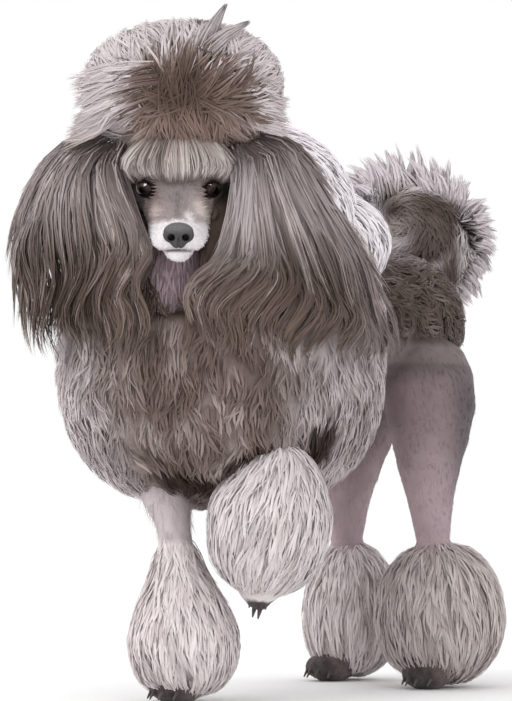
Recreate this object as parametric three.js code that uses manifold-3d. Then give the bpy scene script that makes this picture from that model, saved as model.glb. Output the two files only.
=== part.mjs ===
// Standard poodle in show clip, life size, walking, with its left foreleg lifted and its head
// turned to the left. Millimetres, +Z up. It faces -Y and its left side is +X.
import * as THREE from 'three';
import { mergeVertices } from 'three/addons/utils/BufferGeometryUtils.js';
import Module from 'manifold-3d';

const wasm = await Module();
wasm.setup();

// How far a form grows when it cuts its neighbour, which leaves a gap of about 0.3 mm
const GROW = 0.45;

// Head: the point midway between the eyes, how far it is turned to the left and how far it nods
const EYES_AT = [72, -250, 615];
const HEAD_TURN = 38.8;
const HEAD_NOD = 23;
const EYE_RADIUS = 11.5;
const EYE_SIDE = 38;
const EYE_BACK = -13;
const EYE_OUTWARD = 22;

const vector = (x, y, z) => new THREE.Vector3(x, y, z);
const vectors = (list) => list.map((p) => (p.isVector3 ? p.clone() : vector(...p)));
const radians = THREE.MathUtils.degToRad;
const X = vector(1, 0, 0);
const Y = vector(0, 1, 0);
const Z = vector(0, 0, 1);

// Directions of the turned head: forward along the nose, to its left, and up
const turn = radians(HEAD_TURN);
const nod = radians(HEAD_NOD);
const FORWARD = vector(Math.sin(turn) * Math.cos(nod), -Math.cos(turn) * Math.cos(nod), -Math.sin(nod));
const LEFT = vector(Math.cos(turn), Math.sin(turn), 0);
const UPWARD = FORWARD.clone().cross(LEFT);

// A point of the head, given forward, left and up from the point between the eyes
function headPoint(forward, left, up) {
  return vector(...EYES_AT)
    .addScaledVector(FORWARD, forward)
    .addScaledVector(LEFT, left)
    .addScaledVector(UPWARD, up);
}

// Frame of a swept form at t along its path and at an angle round it
function ringPoint(form, t, angle, share, grow = 0) {
  const path = new THREE.CatmullRomCurve3(form.path);
  const radii = new THREE.CatmullRomCurve3(form.wide.map((w, i) => vector(w, form.deep[i], 0)));
  const tangent = path.getTangent(t).normalize();
  const across = form.side.clone().addScaledVector(tangent, -form.side.dot(tangent)).normalize();
  const over = across.clone().cross(tangent);
  const size = radii.getPoint(t);
  const corner = form.corner ?? 1;
  const bend = (value) => Math.sign(value) * Math.abs(value) ** corner;
  return path.getPoint(t)
    .addScaledVector(across, bend(Math.cos(angle)) * (size.x * share + grow))
    .addScaledVector(over, bend(Math.sin(angle)) * (size.y * share + grow));
}

// How full a form is at c, which runs from 1 at its start to -1 at its end
const fullness = (c, blunt) => (1 - Math.abs(c) ** blunt) ** (1 / blunt);

// A closed form: a sphere whose rings are moved onto a smooth path and sized along it
function sweep(form, grow = 0) {
  const { sides = 12, rings = 10, blunt = 4 } = form;
  const shape = new THREE.SphereGeometry(1, sides, rings);
  const place = shape.attributes.position;
  const path = new THREE.CatmullRomCurve3(form.path);
  for (let i = 0; i < place.count; i += 1) {
    const v = 1 - shape.attributes.uv.getY(i);
    const c = Math.cos(Math.PI * v);
    const t = (1 - c) / 2;
    const pole = v < 1e-6 || v > 1 - 1e-6;
    const angle = Math.atan2(place.getZ(i), -place.getX(i));
    const point = pole
      ? path.getPoint(Math.round(t)).addScaledVector(path.getTangent(Math.round(t)).normalize(), -c * grow)
      : ringPoint(form, t, angle, fullness(c, blunt), grow);
    place.setXYZ(i, point.x, point.y, point.z);
  }
  return solid(shape);
}

// A closed three.js shape made a solid
function solid(shape) {
  shape.deleteAttribute('uv');
  shape.deleteAttribute('normal');
  const closed = mergeVertices(shape, 1e-4);
  return new wasm.Manifold(new wasm.Mesh({
    numProp: 3,
    vertProperties: new Float32Array(closed.attributes.position.array),
    triVerts: new Uint32Array(closed.index.array),
  }));
}

// A form along points given as [x, y, z], with its half widths and half depths at each
function form(path, wide, deep, side = X, more = {}) {
  return { path: vectors(path), wide, deep, side, ...more };
}

// An ellipsoid, as a form along one axis
function ball(centre, along, half, wide, deep, side = X, more = {}) {
  const middle = centre.isVector3 ? centre : vector(...centre);
  const ends = [-half, 0, half].map((s) => middle.clone().addScaledVector(along, s));
  return { path: ends, wide: [wide, wide, wide], deep: [deep, deep, deep], side, blunt: 2, ...more };
}

// Seeded draws between two numbers, alike each time
function draws(seed) {
  let state = seed;
  return (low, high) => {
    state = (state * 1664525 + 1013904223) % 4294967296;
    return low + (high - low) * state / 4294967296;
  };
}

// A point on a form's surface, v from 0 at its start to 1 at its end, and the direction out of it
function surfaceAt(form, v, angle) {
  const at = (w, a) => {
    const c = Math.cos(Math.PI * w);
    return ringPoint(form, (1 - c) / 2, a, fullness(c, form.blunt ?? 4));
  };
  const step = 0.01;
  const point = at(v, angle);
  const round = at(v, angle + step).sub(point);
  const along = at(v + step, angle).sub(point);
  return { point, out: along.cross(round).normalize() };
}

// Evenly spread places on a form, in rows from its start to its end, staggered and a little uneven
function placesOn(form, { rows, spacing, seed, from = 0, to = 1 }) {
  const draw = draws(seed);
  const places = [];
  for (let row = 0; row < rows; row += 1) {
    const v = from + (to - from) * (row + 0.5) / rows;
    const [a, b, c] = [0, Math.PI / 2, Math.PI].map((angle) => surfaceAt(form, v, angle).point);
    const middle = a.clone().add(c).multiplyScalar(0.5);
    const count = Math.max(1, Math.round(Math.PI * (a.distanceTo(middle) + b.distanceTo(middle)) / spacing));
    for (let i = 0; i < count; i += 1) {
      const angle = 2 * Math.PI * (i + 0.5 * (row % 2) + draw(-0.14, 0.14)) / count;
      const uneven = Math.min(0.98, Math.max(0.02, v + draw(-0.12, 0.12) * (to - from) / rows));
      places.push({ ...surfaceAt(form, uneven, angle), v: uneven, angle, draw });
    }
  }
  return places;
}

// Part of a direction that lies along a surface
const alongSurface = (direction, out) => direction.clone().addScaledVector(out, -direction.dot(out));

// A rounded clump of woolly coat, its top at a point of the outer surface, leaning along the lie
function clump({ point, out, draw }, radius, depth, lie) {
  const size = radius * draw(0.9, 1.12);
  const lean = alongSurface(lie, out).multiplyScalar(size * draw(0.15, 0.4));
  const root = point.clone().addScaledVector(out, -depth);
  const tip = point.clone().addScaledVector(out, size * draw(-0.08, 0.1)).add(lean);
  const middle = root.clone().lerp(tip, 0.5);
  const side = Math.abs(out.z) < 0.9 ? Z : X;
  const wide = [0.6, 1, 0.7].map((share) => share * size);
  const deep = [0.6, draw(0.85, 1), 0.7].map((share) => share * size);
  return { path: [root, middle, tip], wide, deep, side, sides: 5, rings: 3, blunt: 2.3 };
}

// Clumps set close over the outer surface of a form, where keep allows
function fleece(form, { rows, spacing, radius, depth, lie, seed, keep = () => true, from, to }) {
  return placesOn(form, { rows, spacing, seed, from, to })
    .filter(({ point }) => keep(point))
    .map((place) => clump(place, radius, depth, lie));
}

// A flat lock that tapers to its tip, along a path, with its flat side facing out
function lock(path, wide, thick, out, more = {}) {
  const along = path[path.length - 1].clone().sub(path[0]);
  const side = along.cross(out).normalize();
  const taper = path.map((p, i) => Math.sin(Math.PI * (0.22 + 0.7 * i / (path.length - 1))));
  const deep = taper.map((t) => thick * (0.35 + 0.65 * t));
  return { path, wide: taper.map((t) => wide * t), deep, side, sides: 4, rings: 5, blunt: 2.6, ...more };
}

// A lock that leaves the coat below a place, lies over it along the lie and ends just past it
function overlay({ point, out, draw }, lie, { length, depth, wide, thick, lift }) {
  const flow = alongSurface(lie, out).normalize();
  const size = length * draw(0.88, 1.14);
  const sway = flow.clone().cross(out).multiplyScalar(size * draw(-0.16, 0.16));
  const at = (along, high, aside) => point.clone()
    .addScaledVector(flow, along * size)
    .addScaledVector(out, high)
    .addScaledVector(sway, aside);
  const path = [
    at(-0.62, -depth, 0),
    at(-0.3, -0.3 * depth, 0.3),
    at(0.08, -0.25 * thick, 0.7),
    at(0.38, lift * draw(0.4, 1.3), 1),
  ];
  return lock(path, wide * draw(0.9, 1.12), thick, out, { rings: 4 });
}

const inside = (point, middle, half) => ((point.x - middle[0]) / half[0]) ** 2
  + ((point.y - middle[1]) / half[1]) ** 2 + ((point.z - middle[2]) / half[2]) ** 2 < 1;

const joinForms = (forms, grow = 0) => wasm.Manifold.union(forms.map((f) => sweep(f, grow)));

// The largest closed surface of a solid
function largest(body) {
  return body.decompose().reduce((a, b) => (a.volume() > b.volume() ? a : b));
}

// The floor, as a block that paws are cut flat by
function floorBlock() {
  const block = new THREE.BoxGeometry(2000, 2000, 200);
  block.translate(0, 0, -100);
  return solid(block);
}

const eyeAt = (s) => headPoint(EYE_BACK, s * EYE_SIDE, 0);
const eyeFacing = (s) => FORWARD.clone().multiplyScalar(Math.cos(radians(EYE_OUTWARD)))
  .addScaledVector(LEFT, s * Math.sin(radians(EYE_OUTWARD)));

function eyeForms(s) {
  return [ball(eyeAt(s), eyeFacing(s), EYE_RADIUS, EYE_RADIUS, EYE_RADIUS, UPWARD, { sides: 10, rings: 7 })];
}

// Rim of a lid, an arc on the eyeball from corner to corner
function lidForm(s, lift) {
  const facing = eyeFacing(s);
  const across = UPWARD.clone().cross(facing);
  const path = [-62, -32, 0, 32, 62].map((degrees) => {
    const a = radians(degrees);
    const b = radians(lift) * Math.cos(a * 1.45);
    return eyeAt(s)
      .addScaledVector(facing, EYE_RADIUS * 1.02 * Math.cos(a) * Math.cos(b))
      .addScaledVector(across, EYE_RADIUS * 1.02 * Math.sin(a))
      .addScaledVector(UPWARD, EYE_RADIUS * 1.02 * Math.cos(a) * Math.sin(b));
  });
  const thick = [2, 2.8, 3.2, 2.8, 2];
  return { path, wide: thick, deep: thick, side: facing, sides: 5, rings: 6, blunt: 4 };
}

function headForms() {
  const midline = (list) => list.map(([forward, up]) => headPoint(forward, 0, up));
  const skull = form(midline([[-132, 8], [-95, 6], [-45, 2], [0, -10]]),
    [38, 55, 56, 36], [40, 50, 46, 34], LEFT, { sides: 12, rings: 9, blunt: 3 });
  const muzzle = form(midline([[-40, -20], [0, -22], [50, -31], [101, -35]]),
    [44, 35, 26, 21], [30, 26, 22, 18], LEFT, { sides: 12, rings: 9, blunt: 5 });
  const jaw = form(midline([[-60, -40], [0, -50], [50, -55], [92, -55]]),
    [38, 27, 19, 15], [18, 14, 11, 9], LEFT, { sides: 10, rings: 7, blunt: 4 });
  const forms = [skull, muzzle, jaw];
  for (const s of [-1, 1]) {
    forms.push(form([headPoint(2, s * 27, -46), headPoint(50, s * 20, -48), headPoint(94, s * 10, -47)],
      [8, 8, 7], [7, 8, 7], LEFT, { sides: 6, rings: 6, blunt: 3 }));
    forms.push(ball(headPoint(-18, s * 30, 17), LEFT, 16, 16, 9, FORWARD, { sides: 8, rings: 5 }));
    forms.push(lidForm(s, 34));
    forms.push(lidForm(s, -30));
  }
  return forms;
}

// The line of the mouth, a thin cut between the lips and the jaw
function mouthForm() {
  return form([headPoint(18, 0, -53), headPoint(60, 0, -55), headPoint(116, 0, -53)],
    [40, 34, 26], [0.7, 0.9, 0.7], LEFT, { sides: 6, rings: 5, blunt: 6 });
}

function noseForms() {
  return [form([headPoint(90, 0, -24), headPoint(101, 0, -25), headPoint(110, 0, -27)],
    [14, 16.5, 13], [10, 12.5, 10], LEFT, { sides: 10, rings: 6, blunt: 3 })];
}

function nostrilForm(s) {
  return form([headPoint(113, s * 4, -27), headPoint(107, s * 8.5, -25), headPoint(99, s * 17, -22)],
    [1.8, 2.6, 1.6], [2.2, 3, 1.8], UPWARD, { sides: 6, rings: 4, blunt: 3 });
}

// Outer shapes of the mane over the chest and of the hair round the neck, out to the tips
const MANE_AT = [-2, -68, 448];
const MANE_WIDE = 199;
const MANE_LONG = 230;
const MANE_HIGH = 216;
const NECK_AT = [6, -54, 620];
const NECK_ROUND = 156;
const torsoOuter = ball(MANE_AT, Y, MANE_LONG, MANE_WIDE, MANE_HIGH, X,
  { sides: 24, rings: 16, blunt: 2.3, corner: 0.9 });
const neckOuter = form([[0, -45, 540], NECK_AT, [12, -105, 700]], [135, NECK_ROUND, 100],
  [135, NECK_ROUND, 96], X, { sides: 18, rings: 10, blunt: 3 });

// Outer shape of the topknot, out to the tips of its hair, which is combed back from its front
const TOPKNOT_AT = [50, -216, 748];
const topknotOuter = ball(TOPKNOT_AT, Z, 82, 128, 118, X, { sides: 20, rings: 14, blunt: 2.3 });
const topknotFront = vector(...TOPKNOT_AT).addScaledVector(FORWARD, 125).addScaledVector(Z, 25);

function topknotForms() {
  const core = ball([50, -216, 722], Z, 62, 92, 84, X, { sides: 10, rings: 6, blunt: 2.3 });
  const places = placesOn(topknotOuter, { rows: 4, spacing: 128, seed: 21, from: 0.14, to: 1 });
  const locks = places.map((place) => overlay(place, place.point.clone().sub(topknotFront),
    { length: 95, depth: 45, wide: 48, thick: 22, lift: 8 }));
  return [core, ...locks, ...fringeForms()];
}

// Hair combed down over the forehead as far as the brow
const FRINGE_LOCKS = 6;
function fringeForms() {
  const draw = draws(31);
  const locks = [];
  for (let i = 0; i < FRINGE_LOCKS; i += 1) {
    const across = -1 + 2 * i / (FRINGE_LOCKS - 1);
    const drop = 8 * across ** 2;
    const path = [
      headPoint(-40, across * 38, 70),
      headPoint(-4 - drop, across * 50, 60 - drop),
      headPoint(10 - 2 * drop, across * 53, 38 - drop),
      headPoint(7 - 2.6 * drop, across * 50, 18 - drop + draw(-3, 3)),
    ];
    locks.push(lock(path, 17, 9, FORWARD, { rings: 5 }));
  }
  return locks;
}

// Guides of the hair of each ear, from its root down over the mane: the outer and the inner edge
const EAR_GUIDES = {
  left: {
    outer: [[96, -186, 664], [138, -120, 652], [190, -58, 580], [214, 6, 475], [206, -2, 428]],
    inner: [[102, -206, 645], [146, -198, 612], [136, -226, 565], [108, -278, 485], [114, -272, 428]],
  },
  right: {
    outer: [[0, -262, 680], [-64, -280, 674], [-152, -290, 580], [-164, -270, 480], [-142, -262, 425]],
    inner: [[12, -282, 645], [14, -298, 612], [44, -308, 560], [54, -310, 490], [50, -306, 428]],
  },
};
const EAR_SWELL = [2, 20, 28, 26, 22];
const EAR_LIFT = [0, 1, 1, 1, 0.8];
const EAR_LAYERS = [
  { locks: 6, reach: 1, bulge: 0, seed: 41 },
  { locks: 3, reach: 0.84, bulge: 13, seed: 42 },
];

// A line of the ear's hair between its outer edge, at 0, and its inner edge, at 1
function earLine(name, share, bulge = 0) {
  const { outer, inner } = EAR_GUIDES[name];
  const swell = Math.sin(Math.PI * Math.min(1, Math.max(0, share)));
  return outer.map((p, i) => {
    const point = vector(...p).lerp(vector(...inner[i]), share);
    return point.addScaledVector(earOut(point), swell * EAR_SWELL[i] + bulge * EAR_LIFT[i]);
  });
}

// Away from the middle of the mane at the height of a point
const earOut = (point) => point.clone().sub(vector(MANE_AT[0], MANE_AT[1], point.z)).normalize();

// The flap of the ear, without and with its hollow inner side
function earFlap(name, grow) {
  const line = earLine(name, 0.5, -6).slice(0, 4);
  const path = [line[0], line[1], line[1].clone().lerp(line[2], 0.55), line[2].clone().lerp(line[3], 0.1)];
  const side = Z.clone().cross(earOut(path[2]));
  const flap = form(path, [26, 40, 46, 26], [11, 12, 11, 8], side, { sides: 10, rings: 6, blunt: 3 });
  const hollow = path.map((p) => p.clone().addScaledVector(earOut(p), -9));
  const cup = form(hollow.slice(1), [30, 35, 16], [9, 9, 6], side, { sides: 8, rings: 5, blunt: 3 });
  return grow ? sweep(flap, grow) : sweep(flap).subtract(sweep(cup));
}

function earLocks(name) {
  const locks = [];
  for (const { locks: count, reach, bulge, seed } of EAR_LAYERS) {
    const draw = draws(seed);
    for (let i = 0; i < count; i += 1) {
      const share = (i + 0.5) / count;
      const line = new THREE.CatmullRomCurve3(earLine(name, share, bulge));
      const next = earLine(name, share + 0.1, bulge);
      const span = line.getPoint(0.7).distanceTo(new THREE.CatmullRomCurve3(next).getPoint(0.7)) * 10 / count;
      const length = reach * draw(0.93, 1);
      const wave = draw(3, 8) * (i % 2 ? 1 : -1);
      const across = next[3].clone().sub(earLine(name, share, bulge)[3]).normalize();
      const path = [0, 0.22, 0.42, 0.6, 0.8, 1].map((t, k) => line.getPoint(t * length)
        .addScaledVector(across, wave * [0, 0, 1, -1, 1, -0.6][k]));
      const out = earOut(path[3]);
      locks.push(lock(path, span * 0.78, 14, out, { rings: 5 }));
    }
  }
  return locks;
}

const earBody = (name, grow) => earFlap(name, grow).add(joinForms(earLocks(name), grow));

// Woolly mane over the chest, parted at the throat
const DOWN = vector(0, 0.3, -0.95);
const underEars = (p) => p.z > 460 && p.y < -70;
const atThroat = (p) => Math.abs(p.x - 62) < 58 && p.y < -170 && p.z > 480;
function torsoForms() {
  const core = ball(MANE_AT, Y, 192, 150, 170, X, { sides: 10, rings: 7, blunt: 2.3, corner: 0.9 });
  const hidden = (p) => atThroat(p) || underEars(p) || inside(p, NECK_AT, [140, 140, 130]);
  return [core, ...fleece(torsoOuter, { rows: 5, spacing: 118, radius: 80, depth: 84, lie: DOWN, seed: 51,
    keep: (p) => !hidden(p) })];
}

// Neck with the hair behind it and at its sides, and the bare throat below the chin
function neckForms() {
  const core = form([[4, -60, 520], [10, -96, 600], [26, -140, 680]], [104, 108, 78], [96, 100, 66], X,
    { sides: 10, rings: 6, blunt: 3 });
  const throat = form([[36, -196, 572], [34, -212, 520], [24, -220, 450]], [40, 40, 34], [40, 44, 46], X,
    { sides: 10, rings: 7, blunt: 3 });
  const hidden = (p) => p.y < -115 || inside(p, MANE_AT, [190, 220, 205]);
  return [core, throat, ...fleece(neckOuter, { rows: 3, spacing: 118, radius: 80, depth: 84, lie: DOWN,
    seed: 61, keep: (p) => !hidden(p) })];
}

// Saddle of short curls over the loin and the rump, above the shaved thighs
const SADDLE_EDGE = 436;
const loinOuter = form([[0, 80, 485], [0, 180, 492], [0, 262, 505]], [100, 98, 96], [114, 102, 96], X,
  { sides: 16, rings: 8, blunt: 6 });
const loinCore = form([[0, 80, 485], [0, 180, 492], [0, 266, 503]], [86, 82, 80], [100, 88, 82], X,
  { sides: 10, rings: 5, blunt: 6 });
const rumpOuter = form([[0, 222, 500], [0, 300, 502], [0, 370, 500], [0, 424, 488]],
  [98, 108, 104, 70], [98, 102, 96, 70], X, { sides: 18, rings: 12, blunt: 3 });
const rumpCore = form([[0, 224, 500], [0, 300, 499], [0, 370, 496], [0, 416, 486]],
  [84, 94, 90, 60], [84, 88, 82, 60], X, { sides: 10, rings: 7, blunt: 3 });
const onSaddle = (p) => p.z > SADDLE_EDGE;
const BACK = vector(0, 0.8, -0.6);

function loinForms() {
  return [loinCore, ...fleece(loinOuter, { rows: 2, spacing: 98, radius: 66, depth: 56, lie: BACK, seed: 71,
    keep: (p) => onSaddle(p) && p.y > 150 && p.y < 236, from: 0.3, to: 0.9 })];
}

function rumpForms() {
  return [rumpCore, ...fleece(rumpOuter, { rows: 3, spacing: 108, radius: 66, depth: 56, lie: BACK, seed: 72,
    keep: (p) => onSaddle(p) && p.y > 232, from: 0.12, to: 0.98 })];
}

// Tail: a shaved shaft from the rump and a plume of long hair that curls over the back, in two lengths
const tailPath = [[0, 410, 525], [0, 450, 578], [0, 466, 640], [0, 440, 692], [0, 380, 700], [0, 330, 676]];
const tailOuter = form(tailPath, [40, 70, 86, 90, 84, 58], [36, 58, 70, 76, 70, 50], X,
  { sides: 16, rings: 16, blunt: 3 });
const TAIL_SPLIT = 0.5;
const SHAFT = [20, 17, 15, 13, 12, 9];

function tailForms(from, to, seed) {
  const whole = new THREE.CatmullRomCurve3(tailOuter.path);
  const length = [0, 0.25, 0.5, 0.75, 1].map((k) => from + (to - from) * k);
  const radii = new THREE.CatmullRomCurve3(SHAFT.map((r, i) => vector(r, i, 0)));
  const size = length.map((t) => radii.getPoint(t).x);
  const shaft = form(length.map((t) => whole.getPoint(t)), size, size, X, { sides: 6, rings: 5, blunt: 6 });
  const angle = (t) => Math.acos(1 - 2 * t) / Math.PI;
  const places = placesOn(tailOuter, { rows: 3, spacing: 112, seed,
    from: Math.max(0.12, angle(from)), to: Math.min(0.97, angle(to)) });
  const hair = places.map(({ point, out, draw }) => {
    const near = nearestOn(whole, point, from, to);
    const root = whole.getPoint(Math.max(from + 0.02, near - 0.07));
    const flow = whole.getTangent(near).normalize();
    const tip = point.clone().addScaledVector(flow, draw(6, 26)).addScaledVector(out, draw(-8, 8));
    const middle = root.clone().lerp(tip, 0.5).addScaledVector(flow, draw(-10, -4));
    return lock([root, middle, tip], draw(46, 54), 18, flow.clone().multiplyScalar(-1), { rings: 4 });
  });
  return [shaft, ...hair];
}

// The place along a curve, between two limits, that is nearest to a point
function nearestOn(curve, point, from, to) {
  let best = from;
  for (let t = from; t <= to; t += 0.02) {
    best = curve.getPoint(t).distanceTo(point) < curve.getPoint(best).distanceTo(point) ? t : best;
  }
  return best;
}

// Legs: each is a shaved upper part, a bracelet of hair and a paw
const legs = {
  front_right: {
    limb: form([[-52, -70, 400], [-30, -120, 300], [4, -172, 215], [7, -172, 150]],
      [48, 26, 18, 19], [58, 28, 20, 21], X, { sides: 8, rings: 8, blunt: 5 }),
    bracelet: form([[6, -172, 198], [9, -168, 120], [12, -163, 60], [14, -160, 14]],
      [18, 46, 68, 50], [20, 46, 68, 50], X, { sides: 16, rings: 10, blunt: 3 }),
    paw: { heel: [12, -150, 23], toe: [12, -208, 11], lift: 0 },
  },
  front_left: {
    limb: form([[64, -60, 400], [98, -50, 340], [116, -100, 300], [116, -140, 270]],
      [48, 34, 26, 22], [58, 40, 28, 24], X, { sides: 8, rings: 8, blunt: 5 }),
    bracelet: form([[116, -142, 292], [116, -136, 245], [114, -130, 185], [110, -132, 132]],
      [44, 78, 76, 44], [44, 78, 76, 44], X, { sides: 16, rings: 10, blunt: 3 }),
    paw: { heel: [108, -132, 165], toe: [106, -138, 116], lift: 1 },
  },
  hind_left: {
    limb: form([[60, 312, 470], [78, 296, 390], [90, 274, 300], [102, 264, 200], [104, 262, 150]],
      [66, 62, 40, 21, 21], [84, 84, 56, 27, 25], X, { sides: 10, rings: 9, blunt: 4 }),
    bracelet: form([[104, 266, 205], [108, 268, 140], [113, 266, 75], [115, 262, 18]],
      [28, 74, 93, 70], [32, 76, 93, 72], X, { sides: 16, rings: 10, blunt: 3 }),
    paw: { heel: [115, 255, 23], toe: [116, 196, 11], lift: 0 },
  },
  hind_right: {
    limb: form([[-60, 330, 470], [-74, 336, 390], [-86, 334, 300], [-92, 338, 200], [-92, 336, 150]],
      [66, 62, 40, 21, 21], [86, 84, 56, 27, 25], X, { sides: 10, rings: 9, blunt: 4 }),
    bracelet: form([[-90, 346, 205], [-88, 344, 140], [-84, 340, 75], [-84, 334, 18]],
      [28, 66, 80, 62], [32, 70, 82, 64], X, { sides: 16, rings: 10, blunt: 3 }),
    paw: { heel: [-88, 326, 23], toe: [-92, 262, 11], lift: 0 },
  },
};

// A bracelet of brushed coat: a core, as a share of its outer shape, and clumps that lean down over it
const BRACELET_CORE = 0.66;
function braceletForms(outer, seed) {
  const half = (sizes) => sizes.map((size) => size * BRACELET_CORE);
  const core = { ...outer, wide: half(outer.wide), deep: half(outer.deep), sides: 8, rings: 6 };
  return [core, ...fleece(outer, { rows: 3, spacing: 112, radius: 48, depth: 46, lie: DOWN, seed,
    from: 0.2, to: 0.97 })];
}

// Four toes with claws in front of a pad
function pawForms({ heel, toe, lift }) {
  const from = vector(...heel);
  const to = vector(...toe);
  const out = lift ? vector(0, -0.35, -1).normalize() : vector(0, -1, 0);
  const forms = [form([from, from.clone().lerp(to, 0.5), from.clone().lerp(to, 0.8)],
    [22, 27, 22], [26, 24, 17], X, { sides: 6, rings: 4, blunt: 3 })];
  for (const [across, short] of [[-20, 14], [-7, 2], [7, 0], [20, 12]]) {
    const knuckle = from.clone().lerp(to, 0.55).addScaledVector(X, across).addScaledVector(Z, lift ? 0 : 4);
    const tip = to.clone().addScaledVector(X, across * 1.05).addScaledVector(out, -short);
    forms.push(form([knuckle, knuckle.clone().lerp(tip, 0.5).addScaledVector(Z, lift ? 0 : 5), tip],
      [9, 10.5, 8], [11, 13, 11], X, { sides: 5, rings: 3, blunt: 3 }));
    const nail = tip.clone().addScaledVector(out, -3).addScaledVector(Z, lift ? 0 : 2);
    const point = nail.clone().addScaledVector(out, 17).addScaledVector(Z, lift ? 0 : -7);
    forms.push(form([nail, nail.clone().addScaledVector(out, 9), point],
      [3.6, 3.2, 1.4], [4.4, 3.8, 1.6], X, { sides: 4, rings: 3, blunt: 3 }));
  }
  return forms;
}

// Each node is cut clear of the nodes named in its cutters, which are made before it
const FLOOR = floorBlock();
const nodes = [];
const made = {};

function add(name, colour, roughness, make, cutters = [], cuts = []) {
  let body = make(0);
  for (const cutter of cutters) {
    body = body.subtract(made[cutter]);
  }
  for (const cut of cuts) {
    body = body.subtract(cut);
  }
  made[name] = make(GROW);
  nodes.push({ name, colour, roughness, body: largest(body) });
}

const joined = (forms) => (grow) => joinForms(forms, grow);

const COAT = '#8b8078';
const TIPS = '#cfc4c4';
const DARK = '#6e5c54';
const SKIN = '#a0909a';

add('eye_left', '#2a1a12', 0.15, joined(eyeForms(1)));
add('eye_right', '#2a1a12', 0.15, joined(eyeForms(-1)));
add('nose', '#555555', 0.45, joined(noseForms()), [], [sweep(nostrilForm(1)), sweep(nostrilForm(-1))]);
add('head', '#c9c3c6', 0.8, joined(headForms()), ['eye_left', 'eye_right', 'nose'], [sweep(mouthForm())]);
const face = ['head', 'nose', 'eye_left', 'eye_right'];
add('ear_left', COAT, 0.9, (grow) => earBody('left', grow), face);
add('ear_right', COAT, 0.9, (grow) => earBody('right', grow), [...face, 'ear_left']);
const ears = ['ear_left', 'ear_right'];
for (const [place, leg] of Object.entries(legs)) {
  add(`leg_${place}`, SKIN, 0.85, joined([leg.limb]), ears);
  add(`paw_${place}`, TIPS, 0.85, joined(pawForms(leg.paw)), [`leg_${place}`], [FLOOR]);
}
const limbs = Object.keys(legs).map((place) => `leg_${place}`);
add('topknot', DARK, 0.9, joined(topknotForms()), [...face, ...ears]);
add('neck', '#998d90', 0.9, joined(neckForms()), [...face, ...ears, 'topknot', ...limbs]);
add('torso', COAT, 0.95, joined(torsoForms()), [...face, ...ears, 'topknot', 'neck', ...limbs]);
add('loin', SKIN, 0.9, joined(loinForms()), ['torso', ...limbs]);
add('rump', DARK, 0.95, joined(rumpForms()), ['loin', 'torso', ...limbs]);
add('tail_root', TIPS, 0.9, joined(tailForms(0, TAIL_SPLIT, 81)), ['rump', 'loin', 'torso']);
add('tail_end', TIPS, 0.9, joined(tailForms(TAIL_SPLIT, 1, 82)), ['tail_root', 'rump', 'loin', 'torso']);
Object.entries(legs).forEach(([place, leg], i) => {
  add(`bracelet_${place}`, TIPS, 0.95, joined(braceletForms(leg.bracelet, 91 + i)),
    ['torso', 'head', `leg_${place}`, `paw_${place}`], [FLOOR.translate(0, 0, 6)]);
});

const group = new THREE.Group();
for (const { name, colour, roughness, body } of nodes) {
  const { vertProperties, triVerts } = body.getMesh();
  const shape = new THREE.BufferGeometry();
  shape.setAttribute('position', new THREE.Float32BufferAttribute(vertProperties, 3));
  shape.setIndex(Array.from(triVerts));
  shape.computeVertexNormals();
  const material = new THREE.MeshStandardMaterial({ color: colour, roughness, metalness: 0 });
  const mesh = new THREE.Mesh(shape, material);
  mesh.name = name;
  group.add(mesh);
}

// The origin stands on the floor under the middle of the animal
const bounds = new THREE.Box3().setFromObject(group);
group.position.set(-(bounds.min.x + bounds.max.x) / 2, -(bounds.min.y + bounds.max.y) / 2, -bounds.min.z);

export default group;
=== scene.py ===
# Standard poodle in show clip, life size, walking with its left foreleg lifted and its head turned
# to the left. Sizes are millimetres in the animal's own frame, +Z up, facing -Y, its left side at +X.
# They become metres when a mesh is made.
import math
import bmesh
import bpy
import numpy as np
import openvdb
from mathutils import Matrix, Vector, noise


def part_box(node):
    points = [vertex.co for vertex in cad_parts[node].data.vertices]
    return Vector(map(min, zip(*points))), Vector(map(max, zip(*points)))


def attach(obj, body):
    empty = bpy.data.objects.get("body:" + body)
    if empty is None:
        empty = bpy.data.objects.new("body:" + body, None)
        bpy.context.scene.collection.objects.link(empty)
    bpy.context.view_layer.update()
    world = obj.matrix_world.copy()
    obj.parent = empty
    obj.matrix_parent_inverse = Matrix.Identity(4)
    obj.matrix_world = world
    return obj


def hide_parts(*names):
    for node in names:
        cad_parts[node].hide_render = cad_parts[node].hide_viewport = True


# Head: the point midway between the eyes, how far it is turned to the left and how far it nods
EYES_AT = np.array([72.0, -250.0, 615.0])
HEAD_TURN = math.radians(38.8)
HEAD_NOD = math.radians(23)

# How much a step forward and a step up in the head's own frame rise in the picture
FORWARD_RISE = -0.218
UP_RISE = 0.816

# Eyes: radius, places from the point between them, how far each looks outwards, and the opening of the lids
EYE_RADIUS = 12.5
EYE_SIDE = 39.0
EYE_RISE = 2.5
EYE_BACK = -13.0
EYE_OUTWARD = math.radians(22)
LID_THICKNESS = 2.2
LID_WIDTH = math.radians(66)
UPPER_LID = math.radians(49)
LOWER_LID = math.radians(-46)

# Mouth and nose leather, from the point between the eyes
MOUTH_DROP = -45.5
NOSE_AT = (101, 0, -27)
NOSE_GRID = 0.9

# Middles of the mane and the topknot, and the height where the saddle ends over the shaved quarters
MANE_AT = np.array([-2.0, -68.0, 448.0])
TOPKNOT_AT = np.array([50.0, -216.0, 748.0])
SADDLE_EDGE = 436.0

# Shaved throat: its bearing round the mane, in degrees to the left of the front
THROAT_TURN = 20

# Rounded volumes of topknot, mane and neck inside which the neighbouring coat stops
TOPKNOT_HALF = [112, 104, 76]
MANE_HALF = [180, 208, 206]
NECK_AT = [8, -70, 640]
NECK_HALF = [128, 128, 110]

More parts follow.
